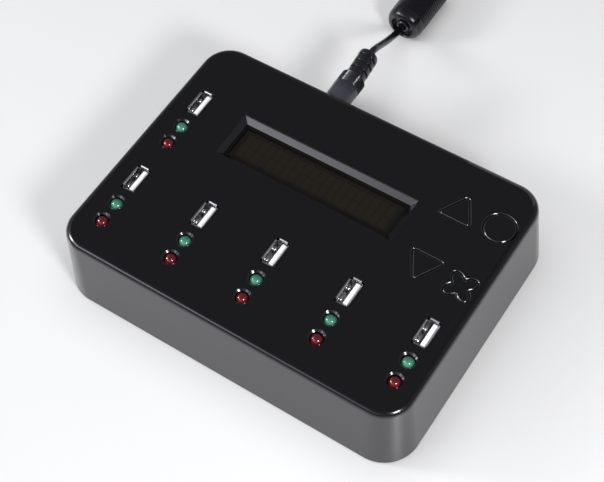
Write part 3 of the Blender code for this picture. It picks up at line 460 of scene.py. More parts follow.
def addStudio():
    half = studio["floorSize"] / 2
    loft = Loft()
    loft.cap(loft.loop([(-half, -half), (half, -half), (half, half), (-half, half)], 0))
    floor = linked("floor", loft.mesh("floor"))
    table = {"Base Color": "floorColour", "Roughness": "floorRoughness", "IOR": "floorIor"}
    sheet = Finish("floorSheet", {socket: studio[key] for socket, key in table.items()})
    floor.data.materials.append(sheet.material)
    for name, aim, radius, watts in (*studio["lamps"], ("overhead", *studio["overhead"])):
        light = bpy.data.lights.new(name, "AREA")
        light.shape = "DISK"
        light.size = 2 * radius
        light.energy = watts
        lamp = linked(name, light)
        lamp.location = Vector(aim).normalized() * studio["lampDistance"]
        lamp.rotation_euler = Vector(aim).to_track_quat("Z", "Y").to_euler()
        lamp.visible_glossy = name != "overhead"
    world = bpy.data.worlds.new("studioSky")
    world.use_nodes = True
    bpy.context.scene.world = world
    sky = Graph(world.node_tree)
    aim = sky.node("TexCoord", output="Generated")
    height = sky.node("SeparateXYZ", None, {0: aim}, 2)
    axis = tuple(Vector(studio["bandAxis"]).normalized())
    facing = sky.node("VectorMath", {"operation": "DOT_PRODUCT"}, {0: aim, 1: axis}, "Value")
    band = sky.ramp(facing * 0.5 + 0.5, studio["bandTurn"]) * sky.ramp(height, studio["bandHeights"])
    bright = band * studio["band"] + sky.ramp(height, studio["fillHeights"]) + studio["room"]
    backdrop = world.node_tree.nodes["Background"].inputs
    sky.join(backdrop["Color"], studio["skyColour"])
    sky.join(backdrop["Strength"], bright)


# The lead comes with the camera, because its coil has to lie outside the view

leadLook = {
    "diameter": 3.3 * mm,
    "coilRadius": 19.0 * mm,
    "coilPitch": 3.85 * mm,
    "coilY": 198.0 * mm,
    "turnsIn": 4.25,
    "turnsOut": 4.5,
    "pointsATurn": 40,
    "layerTurn": 0.5,  # the part of a turn in which the coil climbs to its second layer
    "step": 2.6 * mm,
    "tailRun": 26.0 * mm,
    "tailParts": 6,
    "hiddenRun": 15.0 * mm,
    "hiddenParts": 5,
    "pull": 1.2 * mm,  # how far the lead pulls the end of the strain relief to the left
    "tieTurn": 0.62,  # where round the coil the tie sits, in turns
    "tieReach": (0.02, 0.06),  # turns on each side of it that stay low, and that rise
    "tieThickness": 0.6 * mm,
    "tieWidth": 5.0 * mm,
}
plugLow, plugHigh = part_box("power_plug")
plugX = centreOf("power_jack").x
plugZ = centreOf("power_plug").z
reliefX = plugX - leadLook["pull"]
ferriteX, ferriteY, boreZ = centreOf("ferrite_core")
coilOuter = leadLook["coilRadius"] + leadLook["coilPitch"] * leadLook["turnsIn"] / 2
coilX = ferriteX - coilOuter
leadRadius = leadLook["diameter"] / 2


def leadRoute():
    # from the strain relief down to the table, through the ferrite core, to the coil
    sag = ((-0.0245, 0.0960, 0.0272), (-0.0251, 0.1000, 0.0247), (-0.0257, 0.1040, 0.0219),
           (-0.0262, 0.1080, 0.0192), (-0.0268, 0.1120, 0.0166), (-0.0274, 0.1160, 0.0141),
           (-0.0280, 0.1200, 0.0116), (-0.0285, 0.1230, 0.0099), (-0.02875, 0.1255, 0.00905))
    inCore = (0.1280, 0.1310, 0.1360, 0.1450, 0.1540, 0.1610)
    down = ((0.1670, 0.0082), (0.1725, 0.0063), (0.1785, 0.0041), (0.1845, 0.0025), (0.1905, 0.0018),
            (leadLook["coilY"] - 2 * leadRadius, leadRadius))
    start = [(reliefX, plugHigh.y - 1 * mm, plugZ), (reliefX, plugHigh.y, plugZ), *sag]
    return start + [(ferriteX, y, boreZ) for y in inCore] + [(ferriteX, y, z) for y, z in down]


def coilPoint(turns):
    # inwards at a steady rate, round through half a turn a layer up, and outwards again
    look = leadLook
    pitch, turnsIn, layer = look["coilPitch"], look["turnsIn"], look["layerTurn"]
    inner = coilOuter - pitch * turnsIn
    share = (turns - turnsIn) / layer
    if share <= 0:
        radius = coilOuter - pitch * turns
    elif share <= 1:
        radius = inner - pitch / 2 * share * (1 - share)
    else:
        radius = inner + pitch * (turns - turnsIn - layer)
    apart = abs((turns - look["tieTurn"] + 0.5) % 1 - 0.5)
    low, rise = look["tieReach"]
    lift = look["tieThickness"] * (1 - eased((apart - low) / rise))
    height = leadRadius + pitch * eased(share) + lift
    angle = math.tau * turns
    return Vector((coilX + radius * math.cos(angle), look["coilY"] + radius * math.sin(angle), height))


def leadPoints():
    look = leadLook
    points = smoothPath(leadRoute(), look["step"])
    total = look["turnsIn"] + look["layerTurn"] + look["turnsOut"]
    count = round(total * look["pointsATurn"])
    points += [coilPoint(total * k / count) for k in range(count + 1)]
    start = points[-1] + Vector((-2 * leadRadius, 0, 0))
    rise = centreOf("power_adapter").z - start.z
    shares = [k / look["tailParts"] for k in range(look["tailParts"] + 1)]
    tail = [start + Vector((-look["tailRun"] * share, 0, rise * eased(share))) for share in shares]
    points += smoothPath(tail, look["step"])
    # it runs on through the gland into the case
    last, parts = points[-1], look["hiddenParts"]
    return points + [last + Vector((-look["hiddenRun"] * k / parts, 0, 0)) for k in range(1, parts + 1)]


def lengthOf(points):
    return sum((q - p).length for p, q in zip(points, points[1:]))


def addLead():
    points = leadPoints()
    curve = bpy.data.curves.new("lead", "CURVE")
    curve.dimensions = "3D"
    curve.bevel_depth = leadRadius
    curve.bevel_resolution = 4
    curve.use_fill_caps = True
    spline = curve.splines.new("POLY")
    spline.points.add(len(points) - 1)
    for target, point in zip(spline.points, points):
        target.co = (*point, 1)
    spline.use_smooth = True
    lead = linked("leadJacket", curve)
    curve.materials.append(finishes["jacket"])
    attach(lead, "housing")
    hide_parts("lead", "lead_coil", "lead_tail")
    return lead, points


addCamera()
addStudio()
print("camera and studio in place")


# Finishes

shellLow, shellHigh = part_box("top_shell")
deckTop = shellHigh.z
# the bright rims: around the keys in the top face, and on the whole of each key
keysLeft, keysFront = (min(centreOf(name)[axis] for name in keyNames) - 9 * mm for axis in (0, 1))
rimHeights = (deckTop - 0.5 * mm, deckTop - 0.02 * mm)
shellRims = (*rimHeights, keysLeft, shellHigh.x - 6 * mm, keysFront)
keyRims = (*rimHeights, -1, 1, -1)
black, polish = (0.0032, 0.0032, 0.0038), {"ior": 1.72, "sheen": (0.95, 0.94, 1.0)}
# the plug's base colour turns darker and its roughness lower from one y to the next, towards the lead
darkerTowardsLead = (65 * mm, 74 * mm, 0.20, (0.010, 0.010, 0.014))  # from y, to y, loss of roughness, colour
plasticRows = {
    # material name, colour, roughness, size and depth of the grain, and what is its own
    "shell": ("satinBlackAbs", black, 0.17, 0.30 * mm, 0.0012 * mm, {**polish, "rims": shellRims}),
    "cover": ("mattBlackAbs", (0.008, 0.008, 0.0085), 0.55, 0.45 * mm, 0.02 * mm, {}),
    "key": ("keyBlackAbs", black, 0.13, 0.25 * mm, 0.0012 * mm, {**polish, "rims": keyRims}),
    "moulding": ("softBlackMoulding", (0.014, 0.014, 0.021), 0.32, 0.35 * mm, 0.004 * mm, {"ior": 1.6}),
    "plug": ("plugMouldingVinyl", (0.034, 0.036, 0.046), 0.32, 0.35 * mm, 0.004 * mm,
             {"ior": 1.6, "darkerTowardsLead": darkerTowardsLead}),
    "bezel": ("bezelPaint", (0.0035, 0.0035, 0.0035), 0.42, 0.4 * mm, 0.006 * mm, {"ior": 1.3}),
    "ferrite": ("ferriteCaseNylon", (0.006, 0.006, 0.009), 0.26, 0.4 * mm, 0.006 * mm, {}),
    "jacket": ("leadJacketVinyl", (0.004, 0.004, 0.005), 0.18, 0.5 * mm, 0.006 * mm, {"ior": 1.55}),
    "adapter": ("texturedBlackCase", (0.010, 0.010, 0.011), 0.48, 0.6 * mm, 0.03 * mm, {}),
    "switch": ("switchNylon", (0.012, 0.012, 0.012), 0.5, 0.4 * mm, 0.01 * mm, {}),
    "insulator": ("whiteInsulator", (0.86, 0.86, 0.87), 0.35, 0.5 * mm, 0.004 * mm, {"fade": 0.06}),
    "plunger": ("plungerAcetal", (0.5, 0.48, 0.42), 0.45, 0.4 * mm, 0.01 * mm, {"fade": 0.1}),
    "rubber": ("footRubber", (0.018, 0.018, 0.018), 0.85, 0.3 * mm, 0.03 * mm, {}),
    "chip": ("chipEpoxy", (0.016, 0.016, 0.017), 0.6, 0.12 * mm, 0.01 * mm, {}),
}
metalLook = {
    "grainSize": 0.12 * mm,
    "grainDepth": 0.002 * mm,
    "drift": 3 * mm,
    "shade": 0.82,
    "uneven": 0.12,
}
metalRows = {
    # material name, colour, roughness, and the scale of the streaks along each axis
    "nickel": ("nickelSheet", (0.74, 0.73, 0.76), 0.18, (1.0, 1.0, 0.15)),
    "blade": ("nickelBlade", (0.74, 0.73, 0.76), 0.3, (0.1, 1.0, 1.0)),
    "contact": ("contactGold", (0.83, 0.62, 0.30), 0.18, (1.0, 1.0, 0.15)),
    "zinc": ("zincPlate", (0.58, 0.58, 0.56), 0.35, (1.0, 1.0, 0.15)),
}


def metal(name, colour, roughness, streak):
    # plated sheet: rolled streaks along one axis in the gloss and the bump
    look = metalLook
    made = Finish(name, {"Metallic": 1.0})
    stretched = made.node("Mapping", {"vector_type": "POINT"}, {"Vector": made.place(), "Scale": streak})
    streaks = made.noise(look["grainSize"], 3.0, place=stretched)
    dark = tuple(channel * look["shade"] for channel in colour)
    made.set("Base Color", made.mix(made.noise(look["drift"]), dark, colour))
    made.set("Roughness", roughness + (streaks - 0.5) * look["uneven"])
    made.bump(streaks, look["grainDepth"])
    return made.material


resinLook = {
    "roughness": 0.05,
    "ior": 1.75,
    "cloud": 1.1 * mm,
    "cloudy": 0.2,
    "slant": 0.35,  # how far the light comes through from the side
    "across": 5.0 * mm,
    "stops": (0.10, 0.55, 1.0),
}
resinRows = {
    # material name, and the painted colours: painted shade at the back, the middle, and painted light at the
    # front
    "green": ("greenResin", (0.010, 0.055, 0.038), (0.045, 0.19, 0.125), (0.09, 0.34, 0.22)),
    "red": ("redResin", (0.030, 0.003, 0.006), (0.10, 0.006, 0.012), (0.18, 0.011, 0.018)),
}


def lampResin(name, *colours):
    # clear tinted resin, a little cloudy, with painted light and shade: the base colour is darker at the
    # back and paler at the front, where light comes through
    look = resinLook
    made = Finish(name, {"Roughness": look["roughness"], "IOR": look["ior"]})
    x, y, z = made.axes()
    cloud = (made.noise(look["cloud"]) - 0.5) * look["cloudy"]
    # painted light: the share of lit colour rises from the back of the dome to the front
    through = (x * look["slant"] - y) / look["across"] + 0.5 + cloud
    made.set("Base Color", made.ramp(through, tuple(zip(look["stops"], colours))))
    return made.material


boardLook = {
    "roughness": 0.4,
    "ground": ((0.008, 0.075, 0.026), (0.012, 0.095, 0.034)),
    "track": (0.035, 0.19, 0.06),
    "lane": 1.9 * mm,
    "bend": (22 * mm, 9 * mm),  # size and reach of the bends in the lanes
    "copper": (0.35, 0.62),  # the part of a lane that a track takes up
    "patch": (30 * mm, 0.47),
    "weave": 0.5 * mm,
    "relief": (0.8, 0.2, 0.03 * mm),  # shares of the tracks and the weave, and the depth
}


def solderResist(name):
    # green board: a weave under the resist and generic tracks that show through it
    look = boardLook
    made = Finish(name, {"Roughness": look["roughness"]})
    x, y, z = made.axes()
    bendSize, bendReach = look["bend"]
    start, end = look["copper"]
    patchSize, patchLevel = look["patch"]
    lanes = ((y + made.noise(bendSize, 0.0) * bendReach) / look["lane"]) % 1.0
    track = (lanes > start) * (lanes < end) * (made.noise(patchSize, 0.0) > patchLevel)
    weave = made.noise(look["weave"])
    made.set("Base Color", made.mix(track, made.mix(weave, *look["ground"]), look["track"]))
    trackShare, weaveShare, depth = look["relief"]
    made.bump(track * trackShare + weave * weaveShare, depth)
    return made.material


displayLook = {
    "roughness": 0.12, "ior": 1.5,
    "columns": 20, "rows": 2, "cellStepX": 3.7 * mm, "cellStepY": 5.95 * mm,
    "cellX": 3.2 * mm, "cellY": 5.55 * mm, "dotsX": 5, "dotsY": 8, "dotGap": 0.12, "dotShare": 0.45,
    "colour": (0.0072, 0.0058, 0.0045), "cell": (0.020, 0.0145, 0.0085), "cloud": 25 * mm, "fade": 1.25,
}


def displayFace(name, centre):
    # a dark film with blank character cells that show faintly, as when nothing is written
    look = displayLook
    made = Finish(name, {"Roughness": look["roughness"], "IOR": look["ior"]})
    x, y, z = made.axes()
    inRow = (x - centre.x) / look["cellStepX"] + look["columns"] / 2
    inColumn = (y - centre.y) / look["cellStepY"] + look["rows"] / 2
    inside = (inRow > 0.0) * (inRow < look["columns"]) * (inColumn > 0.0) * (inColumn < look["rows"])
    acrossCell = (inRow % 1.0) * look["cellStepX"] / look["cellX"] * look["dotsX"]
    upCell = (inColumn % 1.0) * look["cellStepY"] / look["cellY"] * look["dotsY"]
    dot = (acrossCell < look["dotsX"]) * (upCell < look["dotsY"])
    dot = dot * ((acrossCell % 1.0) > look["dotGap"]) * ((upCell % 1.0) > look["dotGap"]) * inside
    pale = tuple(channel * look["fade"] for channel in look["colour"])
    ground = made.mix(made.noise(look["cloud"]), look["colour"], pale)
    made.set("Base Color", made.mix(dot * look["dotShare"], ground, look["cell"]))
    return made.material


finishes = {
    **{key: plastic(*row) for key, row in plasticRows.items()},
    **{key: metal(*row) for key, row in metalRows.items()},
    **{key: lampResin(*row) for key, row in resinRows.items()},
    "board": solderResist("greenSolderResist"),
    "display": displayFace("darkDisplayFilm", centreOf("display_bezel")),
}
print("finishes made:", len(finishes))


# Body

shellLook = {
    "draftX": 2.6 * mm,  # how far the walls lean out from the top to the table
    "draftY": 3.8 * mm,
    "topCorner": 12.5 * mm,
    "footCorner": 15.7 * mm,
    "topEdge": 2.7 * mm,
    "footEdge": 0.35 * mm,
    "innerEdge": 1.0 * mm,
    "wall": 2.5 * mm,
    "cornerSteps": 18,
    "edgeSteps": 9,
    "innerSteps": 4,
    "footSteps": 3,
    "rimEdge": 0.42 * mm,  # rounding of every hole in the top face
    "rimSteps": 5,
    "mouthClear": 0.48 * mm,
    "mouthCorner": 0.3 * mm,
    "wellRadius": 2.8 * mm,
    "wellRim": 0.95 * mm,
    "wellStep": (0.06 * mm, 0.77 * mm),
    "wellDepth": 1.2 * mm,
    "wellEdge": 0.12 * mm,
    "mouthEdge": 0.12 * mm,
    "keyClear": 0.45 * mm,
    "bevelInset": 2.2 * mm,
    "windowCorner": 0.25 * mm,
    "seat": (6.0 * mm, 0),  # radius of the plug's seat, and where its cutter starts
    "sleeveHole": (3.3 * mm, -4 * mm),
    "cutterEnd": 12 * mm,
    "bossRadius": 3.8 * mm,
    "bossLap": 0.4 * mm,
    "pilotRadius": 1.5 * mm,
    "pilotDepth": 6.5 * mm,
}
keySizes = {
    "round": 6.6 * mm,
    "triangle": 7.45 * mm,
    "triangleCorner": 0.85 * mm,
    "lobe": 7.05 * mm,
    "waist": 3.4 * mm,
    "blunt": 0.87,
    "edge": 0.5 * mm,
    "edgeSteps": 6,
    "flange": 0.85 * mm,
    "flangeThickness": 1.0 * mm,
    "stem": 2.4 * mm,
    "stemLap": 0.4 * mm,
    "stemSoft": 0.2 * mm,
}
innerTop = deckTop - shellLook["wall"]
gap = 0.3 * mm  # between pieces that are close to each other
windowHalf = (81.2 * mm / 2, 17.7 * mm / 2)
socketHalf = (5.6 * mm / 2, 12.1 * mm / 2)


def bodyOutline(z, inset):
    share = (deckTop - z) / (deckTop - shellLow.z)
    halfX = shellHigh.x - shellLook["draftX"] * (1 - share) - inset
    halfY = shellHigh.y - shellLook["draftY"] * (1 - share) - inset
    corner = shellLook["topCorner"] + (shellLook["footCorner"] - shellLook["topCorner"]) * share - inset
    return roundedBox(halfX, halfY, corner, shellLook["cornerSteps"])


def keyOutline(name, grow):
    look = keySizes
    if name == "round_key":
        return circle(look["round"] + grow, 72)
    if name == "cross_key":
        return fourLobes(look["lobe"], look["waist"], look["blunt"], grow)
    pointing = math.pi / 2 if name == "up_key" else -math.pi / 2
    return roundedTriangle(look["triangle"], look["triangleCorner"], pointing, grow)


def rimProfile(wide=0.0, edge=shellLook["rimEdge"]):
    # how far out and how deep the rounded edge of a hole lies, from the top face down
    return [(wide + edge * (1 - s), edge * (1 - c)) for s, c in quarter(shellLook["rimSteps"])]


def deckHoles():
    # outline by growth, node below, and the profile down to the underside
    look = shellLook
    clear = look["mouthClear"]
    mouth = lambda grow: roundedBox(
        socketHalf[0] + clear + grow, socketHalf[1] + clear + grow, look["mouthCorner"] + grow, 4)
    well = lambda grow: circle(look["wellRadius"] + grow, 48)
    window = lambda grow: roundedBox(windowHalf[0] + grow, windowHalf[1] + grow, look["windowCorner"], 3)
    through = [(0, look["wall"])]
    wellEdge = rimProfile(look["wellRim"] - look["wellEdge"], look["wellEdge"])
    wellEdge += [look["wellStep"], (0, look["wellDepth"])]
    holes = []
    for port in portNames:
        holes.append((mouth, "usb_shell_" + port, rimProfile(0, look["mouthEdge"]) + through))
        holes += [(well, f"{colour}_lamp_{port}", wellEdge + through) for colour in resinRows]
    for key in keyNames:
        outline = lambda grow, key=key: keyOutline(key, look["keyClear"] + grow)
        holes.append((outline, key, rimProfile() + through))
    holes.append((window, "display_bezel", rimProfile(look["bevelInset"]) + through))
    return holes


def shellMesh():
    look = shellLook
    wall, edge, foot, inner = look["wall"], look["topEdge"], look["footEdge"], look["innerEdge"]
    levels = [(innerTop - inner * (1 - c), wall + inner * (1 - s)) for s, c in quarter(look["innerSteps"])]
    levels.append((shellLow.z, wall))
    levels += [(shellLow.z + foot * (1 - c), foot * (1 - s)) for s, c in quarter(look["footSteps"])]
    levels += [(deckTop - edge * (1 - s), edge * (1 - c)) for s, c in quarter(look["edgeSteps"])]
    loft = Loft()
    sides = loft.chain([loft.loop(bodyOutline(z, inset), z) for z, inset in levels])
    upper, lower = [sides[-1]], [sides[0]]
    for outline, node, profile in deckHoles():
        place = centreOf(node).xy
        rows = loft.chain([loft.loop(outline(grow), deckTop - depth, place) for grow, depth in profile])
        upper.append(rows[0])
        lower.append(rows[-1])
    loft.plate(*upper)
    loft.plate(*lower)
    return loft.mesh("topShell")


def alongY(*place):
    # lays an upright axis along +Y, with its foot at the place
    return Matrix.Translation(place) @ Matrix.Rotation(-math.pi / 2, 4, "X")


def backCutter(radius, start):
    # a round bar along +Y from the plug's seat
    profile = [(radius, start), (radius, shellLook["cutterEnd"])]
    return turnedMesh("backCutter", profile, 64, lay=alongY(plugX, seatY, plugZ))


plugLook = {
    "sleeveLength": 9.5 * mm,
    "sleeveRadius": 2.75 * mm,
    "sleeveBore": 1.25 * mm,
    "sleeveRoot": 0.5 * mm,
    "sleeveSoft": 0.2 * mm,
    "radius": 5.6 * mm,
    "front": ((0.5 * mm, 0), (0.15 * mm, 0.12 * mm), (0, 0.5 * mm)),  # inset and depth of its front edge
    "flare": 0.3 * mm,
    "length": 16.8 * mm,
    "edge": 0.9 * mm,
    "band": 5.8 * mm,
    "grooves": 7,
    "grooveSteps": 8,
    "grooveDepth": 0.34 * mm,
    "reliefRadius": 4.7 * mm,
    "reliefLength": 15.2 * mm,
    "reliefRings": 4,
    "reliefGroove": 0.75 * mm,
    # radius lost and place of the points of a groove in the relief, in groove depths
    "reliefRing": ((0, -1.25), (0.3, -1), (1, -0.7), (1, 0.4), (0.3, 0.7), (0, 1)),
    "reliefEnd": ((0, 1.3 * mm), (0.35 * mm, 0.45 * mm), (1.2 * mm, 0)),
    "leadHole": 1 * mm,
    "pull": 1.5,  # power with which the relief bends towards the lead
}
seatY = plugHigh.y - plugLook["length"] - plugLook["reliefLength"] - gap


def addBody():
    look = shellLook
    mesh = carved("topShell", shellMesh(), backCutter(*look["seat"]), backCutter(*look["sleeveHole"]))
    addPiece("topShell", mesh, "shell", "shell", ["top_shell"])
    low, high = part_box("main_board")[1].z + gap, innerTop + look["bossLap"]
    pilot, boss = look["pilotRadius"], look["bossRadius"]
    profile = [(pilot, low), (boss, low), (boss, high), (pilot, high), (pilot, low + look["pilotDepth"])]
    loft = Loft()
    for name in screwNames:
        loft.turned(profile, 40, centreOf(name).xy, closed=True)
    addPiece("shellBosses", loft, "shell", "shell")


screwNames = [f"cover_screw_{k}" for k in range(1, 5)]
footNames = [f"foot_{k}" for k in range(1, 5)]
coverSizes = {
    "plate": 2.2 * mm,
    "edge": 0.3 * mm,
    "ease": 0.3,  # where the middle of the edge's bevel lies, as a share of it
    "postRadius": 3.8 * mm,
    "wellRadius": 2.7 * mm,
    "shaftRadius": 1.5 * mm,
    "postCap": 2.2 * mm,
    "footSeat": 5.8 * mm,
    "footSeatDepth": 1.2 * mm,
}


def addCover():
    look = coverSizes
    low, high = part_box("bottom_cover")
    bottom, plateTop, edge = low.z, low.z + look["plate"], look["edge"]
    ease = edge * look["ease"]
    corner = shellLook["footCorner"] - shellLook["wall"]
    loft = Loft()
    sides = []
    for z, inset in ((bottom, edge), (bottom + ease, ease), (bottom + edge, 0),
                     (plateTop - edge, 0), (plateTop - ease, ease), (plateTop, edge)):
        sides.append(loft.loop(roundedBox(high.x - inset, high.y - inset, corner - inset, 14), z))
    loft.chain(sides)
    lower, upper = [sides[0]], [sides[-1]]

    def column(name, profile, count):
        place = centreOf(name).xy
        rows = loft.chain([loft.loop(circle(radius, count), z, place) for radius, z in profile])
        lower.append(rows[0])
        return rows[-1]

    well, shaft, post = look["wellRadius"], look["shaftRadius"], look["postRadius"]
    cap = high.z - look["postCap"]
    profile = [(well + edge, bottom), (well, bottom + edge), (well, cap), (shaft, cap), (shaft, high.z),
               (post - edge, high.z), (post, high.z - edge), (post, plateTop)]
    for name in screwNames:
        upper.append(column(name, profile, 40))
    seat = [(look["footSeat"], bottom), (look["footSeat"], bottom + look["footSeatDepth"])]
    for name in footNames:
        loft.cap(column(name, seat, 48))
    loft.plate(*lower)
    loft.plate(*upper)
    addPiece("bottomCover", loft, "cover", "cover", ["bottom_cover"])


footSizes = {
    "top": 0.2 * mm,  # bevel of the upper edge
    "tread": ((0, 0.45 * mm), (0.12 * mm, 0.15 * mm), (0.45 * mm, 0)),  # inset and height, down to the table
}
screwSizes = {
    "thread": 1.2 * mm,
    "core": 0.78,  # radius at the bottom of the thread, as a share
    "shank": 0.8,
    "tip": ((0.3, 0.1 * mm), (0.8, 1.2 * mm)),  # share of the radius and depth
    "threadStart": 1.5 * mm,
    "pitch": 0.8 * mm,
    "turns": 9,
    "head": 1.6 * mm,
    "headSide": 0.7 * mm,
    "dome": (0.55, 0.45, 0.9 * mm),  # share of the radius that is flat and that is round, and its height
    "slot": (1.5 * mm, 0.28 * mm, 0.8 * mm),  # half the length, half the width, depth
}


def footMesh():
    low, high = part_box(footNames[0])
    radius, soft = (high.x - low.x) / 2, footSizes["top"]
    profile = [(0, high.z), (radius - soft, high.z), (radius, high.z - soft)]
    profile += [(radius - inset, low.z + z) for inset, z in footSizes["tread"]]
    return turnedMesh("foot", profile + [(0, low.z)], 48)


def screwMesh():
    look = screwSizes
    low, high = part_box(screwNames[0])
    head, thread, pitch = (high.x - low.x) / 2, look["thread"], look["pitch"]
    profile = [(0, high.z), *((thread * share, high.z - depth) for share, depth in look["tip"])]
    for k in range(look["turns"]):
        z = high.z - look["threadStart"] - k * pitch
        profile += [(thread, z), (thread * look["core"], z - pitch / 2)]
    underHead = low.z + look["head"]
    headSide = underHead - look["headSide"]
    profile += [(thread * look["shank"], underHead), (head, underHead), (head, headSide)]
    flat, round, height = look["dome"]
    profile += [(head * (flat + round * c), headSide - height * s) for s, c in quarter(5, 1)]
    screw = turnedMesh("screw", profile + [(0, low.z)], 32)
    long, wide, depth = look["slot"]
    slots = []
    for x, y in ((long, wide), (wide, long)):
        slot = (-x, -y, low.z - 1 * mm), (x, y, low.z + depth), 0.05 * mm, 1
        slots.append(blocksMesh("driveSlot", slot))
    return carved("screw", screw, *slots)


def addFeetAndScrews():
    foot, screw = footMesh(), screwMesh()
    for name in footNames:
        addPiece(name.replace("foot_", "rubberFoot"), foot, "rubber", "foot", [name], at=name)
    for name in screwNames:
        addPiece(name.replace("cover_screw_", "coverScrew"), screw, "zinc", "screw", [name], at=name)


addBody()
addCover()
addFeetAndScrews()
print("body, cover, feet and screws made")


# Sockets

socketLook = {
    "sheet": 0.28 * mm,
    "corner": 0.75 * mm,
    "lipFlare": 0.85 * mm,  # radius of the lips' bend
    "backFlare": 1.15 * mm,
    "lipTurn": 72,
    "lipSteps": 8,
    "lipFoot": 0.7 * mm,
    "lipEndGap": 0.9 * mm,
    "fingerStep": 5.8 * mm,
    "fingerWidth": 2.0 * mm,
    "fingerDepth": 7.5 * mm,
    "fingerTip": 1.6 * mm,
    "fingerBulge": 1.0 * mm,
    "fingerShift": 0.6 * mm,
    "fingerPoints": 0.45 * mm,
    "dimple": 1.25 * mm,
    "dimplePlace": (0.75 * mm, 0.3 * mm),  # into the wall and down from the tip
    "tongueThickness": 2.1 * mm,
    "tongueLength": 10.6 * mm,
    "tongueRecess": 0.6 * mm,
    "tongueBase": 4.2 * mm,
    "tongueSoft": (0.35 * mm, 0.3 * mm),  # rounding of the base and of the tongue
    "tongueLap": 0.6 * mm,
    "contactOffsets": (-3.5 * mm, -1.0 * mm, 1.0 * mm, 3.5 * mm),
    "contactWidth": 1.0 * mm,
    "contactThickness": 0.12 * mm,
    "contactTip": 1.4 * mm,
    "contactLap": 0.3 * mm,
    "contactSoft": 0.08 * mm,
}
socketLow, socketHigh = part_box("usb_shell_source")


def socketShellMesh():
    look = socketLook
    sheet = look["sheet"]
    turned = math.radians(look["lipTurn"])
    lipTop = socketHigh.z - sheet / 2 * math.sin(turned)
    rim = lipTop - look["backFlare"] * math.sin(turned)
    halfX, halfY = socketHalf
    loft = Loft()
    rows = []
    for inset, z in ((0, socketLow.z), (0, rim), (sheet, rim), (sheet, socketLow.z)):
        outline = roundedBox(halfX - inset, halfY - inset, look["corner"] - inset, 5)
        rows.append(loft.loop(outline, z))
    loft.chain(rows, closed=True)
    sides = ((1, 0, halfX, halfY), (-1, 0, halfX, halfY), (0, 1, halfY, halfX), (0, -1, halfY, halfX))
    for outX, outY, half, reach in sides:
        bend = look["backFlare"] if outY > 0 else look["lipFlare"]
        lip = [(-sheet / 2, rim - look["lipFoot"])]
        for k in range(look["lipSteps"] + 1):
            turn = turned * k / look["lipSteps"]
            drop = math.sin(turned) - math.sin(turn)
            lip.append((bend * (1 - math.cos(turn)) - sheet / 2, lipTop - bend * drop))
        turnOut = Matrix(((outX, outY), (outY, outX)))
        place = lambda out, z, along: (*(turnOut @ Vector((half + out, along))), z)
        loft.sheet(lip, sheet, place, reach - look["lipEndGap"])
    wall, bulge = -halfX + sheet / 2, look["fingerBulge"]
    depth, end = look["fingerDepth"], look["fingerTip"]
    knots = [
        (wall, deckTop - depth, 0),
        (wall + bulge / 2, deckTop - (depth + end) / 2, 0),
        (wall + bulge + sheet, deckTop - end - sheet * 2, 0),
        (wall + bulge / 2 + sheet, deckTop - end + sheet / 2, 0),
    ]
    finger = smoothPath(knots, look["fingerPoints"])
    inwards, down = look["dimplePlace"]
    for side in (-1, 1):
        middle = side * look["fingerStep"] / 2 - look["fingerShift"]
        loft.sheet(finger, sheet, lambda x, z, along: (x, middle + along, z), look["fingerWidth"] / 2)
        tip = (knots[2][0] - inwards, middle, knots[2][1] - down)
        bmesh.ops.create_uvsphere(
            loft.bm, u_segments=24, v_segments=14, radius=look["dimple"], matrix=Matrix.Translation(tip))
    return loft.mesh("usbShell", 30)


def tongueMesh():
    look = socketLook
    inset = look["sheet"] + gap
    x, y = socketHalf[0] - inset, socketHalf[1] - inset
    base = socketLow.z + look["tongueBase"]
    baseSoft, soft = look["tongueSoft"]
    half = look["tongueLength"] / 2
    low = (x - look["tongueThickness"], -half, base - look["tongueLap"])
    foot = (-x, -y, socketLow.z), (x, y, base), baseSoft, 3
    return blocksMesh("usbTongue", foot, (low, (x, half, deckTop - look["tongueRecess"]), soft, 4))


def contactMesh():
    look = socketLook
    face = socketHalf[0] - look["sheet"] - gap - look["tongueThickness"]
    thick, half, soft = look["contactThickness"], look["contactWidth"] / 2, look["contactSoft"]
    low = socketLow.z + look["tongueBase"] - look["contactLap"]
    top = deckTop - look["tongueRecess"] - look["contactTip"]
    strips = []
    for y in look["contactOffsets"]:
        strips.append(((face - thick, y - half, low), (face + thick, y + half, top), soft, 2))
    return blocksMesh("usbContacts", *strips)


def portLabel(port):
    return port.title().replace("_", "")


def addSockets():
    kinds = (
        ("usbShell", socketShellMesh(), "nickel", "nickel", "usb_shell_"),
        ("usbTongue", tongueMesh(), "insulator", "insulator", "usb_tongue_"),
        ("usbContacts", contactMesh(), "contact", "nickel", None),
    )
    for port in portNames:
        for kind, mesh, finish, slot, node in kinds:
            replaced = [node + port] if node else []
            addPiece(kind + portLabel(port), mesh, finish, slot, replaced, at="usb_shell_" + port)


# Lamps

lampLook = {
    "radius": 2.65 * mm,
    "straight": 4.8 * mm,
    "flangeRim": 0.25 * mm,
    "flange": 1.0 * mm,
    "leadSide": 0.5 * mm,
    "leadStep": 2.54 * mm,
    "sides": 48,
    "domeSteps": 12,
    "soft": 0.12 * mm,
}
lampLow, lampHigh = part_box("green_lamp_source")


def lampMesh():
    look = lampLook
    radius, soft, wide = look["radius"], look["soft"], look["radius"] + look["flangeRim"]
    middle = lampHigh.z - radius
    top = middle - look["straight"]
    bottom = top - look["flange"]
    dome = [(radius * s, middle + radius * c) for s, c in quarter(look["domeSteps"], 1)]
    profile = [(0, lampHigh.z), *dome, (radius, top), (wide - soft, top), (wide, top - soft),
               (wide, bottom), (0, bottom)]
    loft = Loft()
    loft.turned(profile, look["sides"])
    half = look["leadSide"] / 2
    for side in (-1, 1):
        x = side * look["leadStep"] / 2
        high = (x + half, half, top - look["flange"] / 2)
        loft.block((x - half, -half, lampLow.z), high, 0.05 * mm, 1)
    return loft.mesh("lamp")


